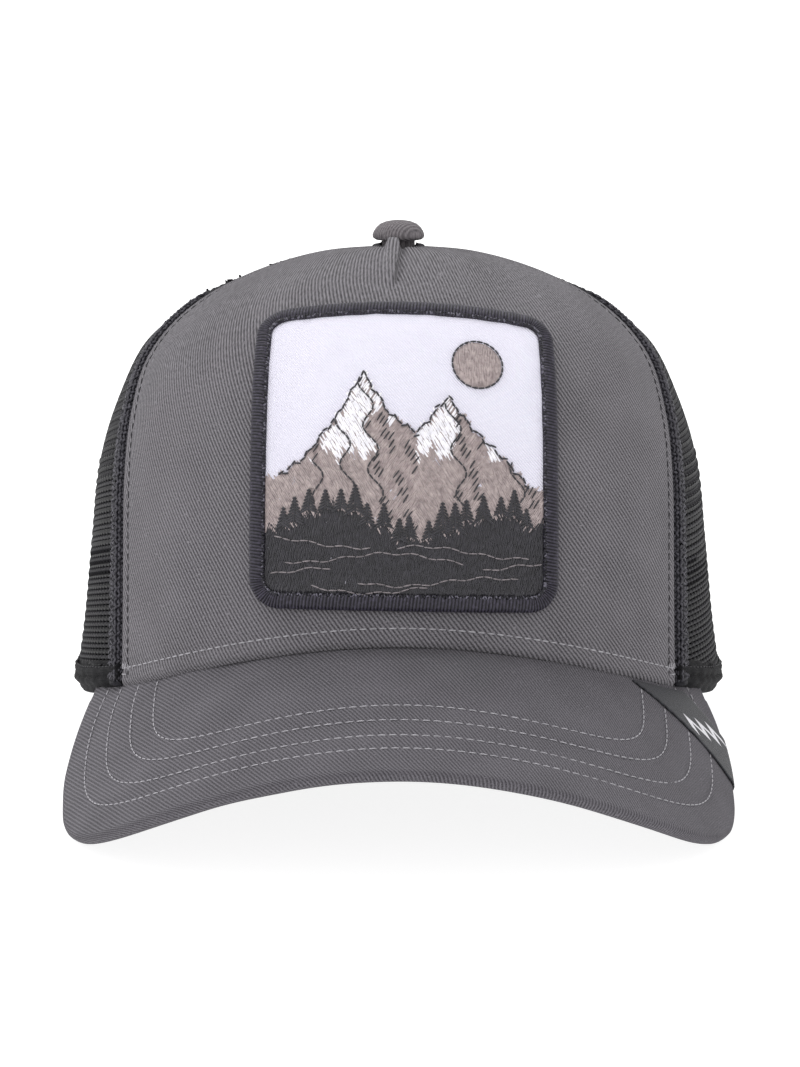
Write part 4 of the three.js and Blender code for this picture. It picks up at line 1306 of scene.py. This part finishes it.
border_shape = closed(sheet(6 * WRAPS, 16, border_place, border_cloth), 0.005, fill=False)
border_thread, shader, nodes = look("border thread", Roughness=0.45, Specular_IOR_Level=0.3)
place = object_place(nodes)
strand = nodes.noise(place, 0.0007, 2.0)
glint = nodes.math("GREATER_THAN", nodes.noise(place, 0.0011, 0.0), 0.66)
_, run, over = cloth_place(nodes)
wrap = run.math("ABSOLUTE", run.math("SINE", run * math.pi))
tone = wrap * 0.8 + strand * 0.7 - 0.5 + glint * 0.3
feed(nodes, shader, nodes.mix(tone, paint(8, 7, 11), paint(66, 62, 76)), strand, 0.12)
border = made("wound_border", border_shape, border_thread)
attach(border, "root")
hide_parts("patch_border")

KNOTS = 440
knot_turns = (np.arange(KNOTS) + 0.5) / KNOTS
knot_inset = BORDER_WIDE - np.where(np.arange(KNOTS) % 2, -0.15, 1.05)
knot_across, knot_up = border_line(knot_turns, knot_inset)
next_across, next_up = border_line(knot_turns + 1 / KNOTS, np.roll(knot_inset, -1))
between = (knot_across + next_across) / 2, (knot_up + next_up) / 2
knot_middles = patch(*between, PATCH_GAP + 2.05)
knot_ahead = patch(next_across, next_up, 0) - patch(knot_across, knot_up, 0)
knot_facing = knot_middles - patch(*between, 0.0)
knots = stitches(knot_middles, knot_ahead, knot_facing, 1.3, 0.55, 0.6, 0.3)
knot_thread, shader, nodes = look("knot thread", Roughness=0.4, Specular_IOR_Level=0.3)
place = object_place(nodes)
strand = nodes.noise(place, 0.0005, 1.0)
# Painted glints: bright specks of the pale colour on the black knot thread stand for highlights.
glint_specks = nodes.math("GREATER_THAN", nodes.noise(place, 0.0008, 0.0), 0.58)
tone = glint_specks * 0.6 + strand * 0.4 - 0.1
feed(nodes, shader, nodes.mix(tone, paint(3, 3, 6), paint(118, 115, 128)), strand, 0.1)
edge_knots = made("edge_knots", knots, knot_thread)
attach(edge_knots, "root")

# Patch ground: white twill cut to fill the border.

GROUND_HIGH = 1.2


def ground_place(u, v):
    edge = BORDER_WIDE - 1.2
    x, y = 2 * u - 1, 2 * v - 1
    pull = 1 - 0.035 * np.abs(x * y) ** 6
    spots = np.stack([x, y], -1) * 40
    lift = PATCH_GAP + GROUND_HIGH + 0.07 * waves(spots, 8.0, 61)
    return patch(x * (PATCH_HALF - edge) * pull, y * (PATCH_TALL - edge) * pull, lift)


white_twill = twill("white twill", paint(221, 218, 234), paint(233, 231, 243), 0.6, math.radians(50))
ground = made("patch_twill", sheet(60, 60, ground_place), white_twill)
thicken(ground, GROUND_HIGH)
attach(ground, "root")
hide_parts("patch_ground")

# Embroidery: a range of snowy peaks under a round sun, behind dark hills with fir trees, in long
# and short stitches of white, taupe and black rayon. Each field has a low padding under its threads.

# Across, top of the hills, top of the peaks, from the patch's middle.
LANDSCAPE = np.array([
    (-33, -20, -7), (-26, -16, -2), (-18, -14, 8), (-11, -17, 20), (-4, -21, 9),
    (3, -23, 4), (11, -20, 14), (18, -17, 5), (26, -15, -2), (33, -18, -9),
], float)
FIELD_BOTTOM, FIELD_EDGE = -37.9, 36.9
THREAD_WIDE, THREAD_HIGH = 0.5, 0.42
FIELD_LIFT = PATCH_GAP + GROUND_HIGH + 0.1


def hill_top(across):
    wobble = 0.7 * np.sin(across * 0.9) + 0.4 * np.sin(across * 2.3 + 1)
    return np.interp(across, LANDSCAPE[:, 0], LANDSCAPE[:, 1]) + wobble


def peak_top(across):
    rough = 0.5 * np.sin(across * 1.7 + 0.4) + 0.35 * np.sin(across * 3.9)
    return np.interp(across, LANDSCAPE[:, 0], LANDSCAPE[:, 2]) + rough


def embroidered(spots, slant, length, lift, random, width=THREAD_WIDE, height=THREAD_HIGH):
    """Threads at places on the patch, lying along a slant from upright, in radians."""
    across, up = spots.T
    slant = slant + random.normal(0, 0.05, len(across))
    start = patch(across - 0.5 * np.sin(slant), up - 0.5 * np.cos(slant), lift)
    end = patch(across + 0.5 * np.sin(slant), up + 0.5 * np.cos(slant), lift)
    middle = patch(across, up, lift)
    facing = patch(across, up, lift + 1) - middle
    return stitches(middle, end - start, facing, length, width, height, 0.12)


def field(holds, slant, length, pitch, random):
    """Places for long and short stitches that fill a region, in slanting rows."""
    ahead = np.array([math.sin(slant), math.cos(slant)])
    beside = np.array([math.cos(slant), -math.sin(slant)])
    reach = 52
    spots = []
    for row in np.arange(-reach, reach, pitch):
        along = np.arange(-reach, reach, length * 0.82) + random.uniform(0, length)
        spots.append(row * beside + along[:, None] * ahead)
    spots = np.concatenate(spots)
    spots += random.normal(0, 0.06, spots.shape)
    return spots[holds(spots[:, 0], spots[:, 1])]


def ridge_line(top, up):
    """Where the winding ridge below a peak's top lies across."""
    return top + 1.6 * np.sin(up * 0.55 + top) + 0.12 * (20 - up)


def ridge_lean(across, up):
    """Which side of the nearest peak's ridge a place is on: under 0 the lit side."""
    tops = LANDSCAPE[[3, 6, 1, 8], 0]
    ends = [(-33, -2), (3, 18), (-40, -22), (20, 40)]
    lean = np.full(np.shape(across), 1.0)
    for top, (low, high) in zip(tops, ends):
        lean = np.where((across >= low) & (across < high), across - ridge_line(top, up), lean)
    return lean


def in_peaks(across, up):
    above_hills = up > hill_top(across) - 1.5
    return (up < peak_top(across) - 0.4) & above_hills & (np.abs(across) < FIELD_EDGE - 0.8)


def in_hills(across, up):
    return (up < hill_top(across)) & (up > FIELD_BOTTOM + 0.6) & (np.abs(across) < FIELD_EDGE - 0.5)


def snow_line(across):
    return 3.5 + 2.2 * np.abs(((across * 0.29) % 2) - 1) * 2 + 1.2 * np.sin(across * 1.9)


def thread_look(name, dark, light):
    """Rayon embroidery thread: glossy, each stitch a little different in tone."""
    material, shader, nodes = look(name, Roughness=0.42, Sheen_Weight=0.2, Specular_IOR_Level=0.4)
    place = object_place(nodes)
    uneven = nodes.noise(place, 0.0014, 2.0)
    feed(nodes, shader, nodes.mix(uneven * 1.6 - 0.3, dark, light), nodes.noise(place, 0.0003), 0.04)
    return material


random = np.random.default_rng(71)
white_thread = thread_look("white rayon", paint(222, 220, 228), paint(252, 250, 253))
taupe_thread = thread_look("taupe rayon", paint(128, 115, 116), paint(186, 172, 170))
grey_rayon = thread_look("grey rayon", paint(88, 82, 86), paint(142, 134, 137))
black_rayon = thread_look("black rayon", paint(22, 21, 25), paint(52, 50, 57))
LIT, SHADED = -0.55, 0.6


def slope(slant, snowy):
    """A test for the peaks' lit or shaded side, in its snow or below it."""
    lit = slant == LIT
    climb = -7 if lit else 3

    def holds(across, up):
        on_side = (ridge_lean(across, up) < 0) == lit
        return in_peaks(across, up) & on_side & ((up > snow_line(across) + climb) == snowy)

    return holds


def filled(holds, slant, length, lift=FIELD_LIFT + 0.1, pitch=0.44):
    """Long and short stitches that fill a region."""
    return embroidered(field(holds, slant, length, pitch, random), slant, length, lift, random)


def padding(rows, edges):
    """The low relief under a field of stitches, between two edges of the landscape."""
    def place(u, v):
        across = (2 * u - 1) * FIELD_EDGE
        low, high = edges(across)
        return patch(across, low + (high - low) * v, FIELD_LIFT)
    return sheet(120, rows, place)


for name, rows, edges, material, node, slot in (
        ("peaks_padding", 20, lambda across: (hill_top(across) - 1.0, peak_top(across) - 0.3),
         taupe_thread, "patch_peaks", "taupe_thread"),
        ("hills_padding", 14, lambda across: (FIELD_BOTTOM + across * 0, hill_top(across) - 0.2),
         black_rayon, "patch_hills", "black_thread")):
    piece = made(name, padding(rows, edges), material)
    thicken(piece, 0.3)
    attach(piece, "root")
    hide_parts(node)

dark_rock = slope(SHADED, False)
snow = together([filled(slope(LIT, True), LIT, 3.6), filled(slope(SHADED, True), SHADED, 3.4)])
rock = together([filled(slope(LIT, False), LIT, 3.4), filled(dark_rock, SHADED, 3.4)])


def line_stitches(across, up, lift, width=0.55, pitch=1.8):
    path = patch(across, up, lift)
    facing = patch(across, up, lift + 1) - path
    return sewn(path, facing, pitch, pitch * 1.05, width, 0.5, 0.1)


skyline = np.linspace(-33, 33, 400)
lines = [line_stitches(skyline, peak_top(skyline), FIELD_LIFT + 0.3)]
for top, low in ((-11, -14), (11, -16), (-26, -14), (26, -13), (-18, -10)):
    up = np.linspace(low, float(peak_top(top)) - 1, 200)
    lines.append(line_stitches(ridge_line(top, up), up, FIELD_LIFT + 0.45, 0.5))
hatch_spots = field(lambda across, up: dark_rock(across, up) & (np.sin(across * 1.3 + up * 0.35) > 0.35),
                    SHADED, 4.2, 1.1, random)
lines.append(embroidered(hatch_spots, SHADED, 3.0, FIELD_LIFT + 0.35, random, 0.45))
dark_lines = together(lines)

hill_threads = filled(in_hills, 0.22, 3.8, pitch=0.46)


def fir(across, foot, tall):
    """A fir tree: a trunk and pairs of drooping branches that widen downwards."""
    spots, slants, lengths = [(across, foot + tall * 0.5)], [0.0], [tall]
    tiers = int(tall / 0.75)
    for tier in range(1, tiers):
        share = tier / tiers
        wide = 0.42 * tall * share
        for way in (-1, 1):
            spots.append((across + way * wide * 0.45, foot + tall * (1 - share) + 0.1))
            slants.append(way * 2.1)
            lengths.append(wide + 0.7)
    return np.array(spots), np.array(slants), np.array(lengths)


trees = []
for across in np.arange(-31.5, 32, 3.7):
    across = across + random.uniform(-0.9, 0.9)
    foot = float(hill_top(across)) - 1.8
    spots, slants, lengths = fir(across, foot, random.uniform(5.5, 9.0))
    trees.append(embroidered(spots, slants, lengths, FIELD_LIFT + 0.4, random, 0.6, 0.5))
fir_trees = together(trees + [hill_threads])

FURROWS = ((-34, -9), (-2, 33), (-31, 14), (20, 35), (-35, -20), (-12, 30), (-24, 6))
furrow_rows = []
for row, (start, end) in enumerate(FURROWS):
    across = np.linspace(start, end, 200)
    up = -24.5 - 1.95 * row + 1.3 * np.sin(across * 0.13 + row) + 0.3 * np.sin(across * 0.7)
    furrow_rows.append(line_stitches(across, up, FIELD_LIFT + 0.35, 0.4, 2.4))
furrows = together(furrow_rows)

for name, shape, material, slot in (
        ("snow_stitches", snow, white_thread, "patch_cloth"),
        ("rock_stitches", rock, taupe_thread, "taupe_thread"),
        ("ridge_stitches", dark_lines, black_rayon, "black_thread"),
        ("hill_stitches", fir_trees, black_rayon, "black_thread"),
        ("furrow_stitches", furrows, grey_rayon, "taupe_thread")):
    piece = made(name, shape, material)
    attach(piece, "root")

SUN_ACROSS, SUN_UP, SUN_RADIUS = 19.0, 23.5, 6.5


def sun_place(u, v):
    turn = 2 * math.pi * u
    return patch(SUN_ACROSS + SUN_RADIUS * v * np.cos(turn), SUN_UP + SUN_RADIUS * v * np.sin(turn),
                 FIELD_LIFT + 0.3 * (1 - v ** 4))


sun = made("sun_padding", closed(sheet(40, 6, sun_place), fill=False), taupe_thread)
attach(sun, "root")
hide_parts("patch_sun")


def in_sun(across, up):
    return np.hypot(across - SUN_ACROSS, up - SUN_UP) < SUN_RADIUS - 0.9


rim_turn = np.linspace(0, 2 * math.pi, 300)
rim_radius = SUN_RADIUS + 0.2
sun_threads = filled(in_sun, 0.0, 3.2, FIELD_LIFT + 0.35)
sun_rim = line_stitches(
    SUN_ACROSS + rim_radius * np.cos(rim_turn), SUN_UP + rim_radius * np.sin(rim_turn), FIELD_LIFT + 0.3)
for name, shape, material, slot in (
        ("sun_stitches", sun_threads, taupe_thread, "taupe_thread"),
        ("sun_rim_stitches", sun_rim, black_rayon, "black_thread")):
    piece = made(name, shape, material)
    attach(piece, "root")

# Stage: a pale floor, soft light from the front, above and the left, and a long lens that looks at
# the front of the hat from a little above its brim.

floor_shape = bmesh.new()
bmesh.ops.create_grid(floor_shape, x_segments=1, y_segments=1, size=6)
floor_mesh = bpy.data.meshes.new("floor")
floor_shape.to_mesh(floor_mesh)
floor_shape.free()
floor = placed("floor", floor_mesh)
floor_look, shader, nodes = look("pale floor", Roughness=1.0, Specular_IOR_Level=0.0)
for socket, value in (("Base Color", (0.42, 0.42, 0.42, 1)), ("Emission Color", (1, 1, 1, 1)),
                      ("Emission Strength", 0.87)):
    shader.inputs[socket].default_value = value
floor_mesh.materials.append(floor_look)

bpy.context.scene.view_settings.view_transform = "Standard"
world = bpy.data.worlds.new("studio")
bpy.context.scene.world = world
world.use_nodes = True
# The white surroundings show a little brighter than they light.
strength = 0.95 + Value(world.node_tree).node("ShaderNodeLightPath", {}, {}, 0) * 0.1
sky = world.node_tree.nodes["Background"]
sky.inputs["Color"].default_value = (1, 1, 1, 1)
world.node_tree.links.new(strength.socket, sky.inputs["Strength"])


def soft_light(name, azimuth, rise, softness, strength):
    """A wide soft light from a side of the camera, at a rise above the floor, in degrees."""
    lamp = bpy.data.lights.new(name, "SUN")
    lamp.angle = math.radians(softness)
    lamp.energy = strength
    light = placed(name, lamp)
    light.rotation_euler = (math.radians(90 - rise), 0, math.radians(azimuth))


soft_light("key", -140, 62, 50, 1.45)
soft_light("fill", -30, 20, 60, 0.62)

AIM = np.array([0, 0, 41.9])
CAMERA_DISTANCE, CAMERA_RISE, SENSOR = 1500.0, math.radians(7), 36
PHOTO_TALL, FOCAL_PIXELS, MIDDLE_OFF = 1067, 5396, 1.5
camera_data = bpy.data.cameras.new("camera")
camera = placed("camera", camera_data)
stand = AIM + CAMERA_DISTANCE * np.array([0, -math.cos(CAMERA_RISE), math.sin(CAMERA_RISE)])
aim, stand = Vector(settled(AIM)), Vector(settled(stand))
camera.location = stand
camera.rotation_euler = (aim - stand).to_track_quat("-Z", "Y").to_euler()
camera_data.sensor_width = SENSOR
camera_data.lens = SENSOR * FOCAL_PIXELS / PHOTO_TALL
camera_data.shift_x = MIDDLE_OFF / PHOTO_TALL
camera_data.clip_start, camera_data.clip_end = 0.1, 20
bpy.context.scene.camera = camera
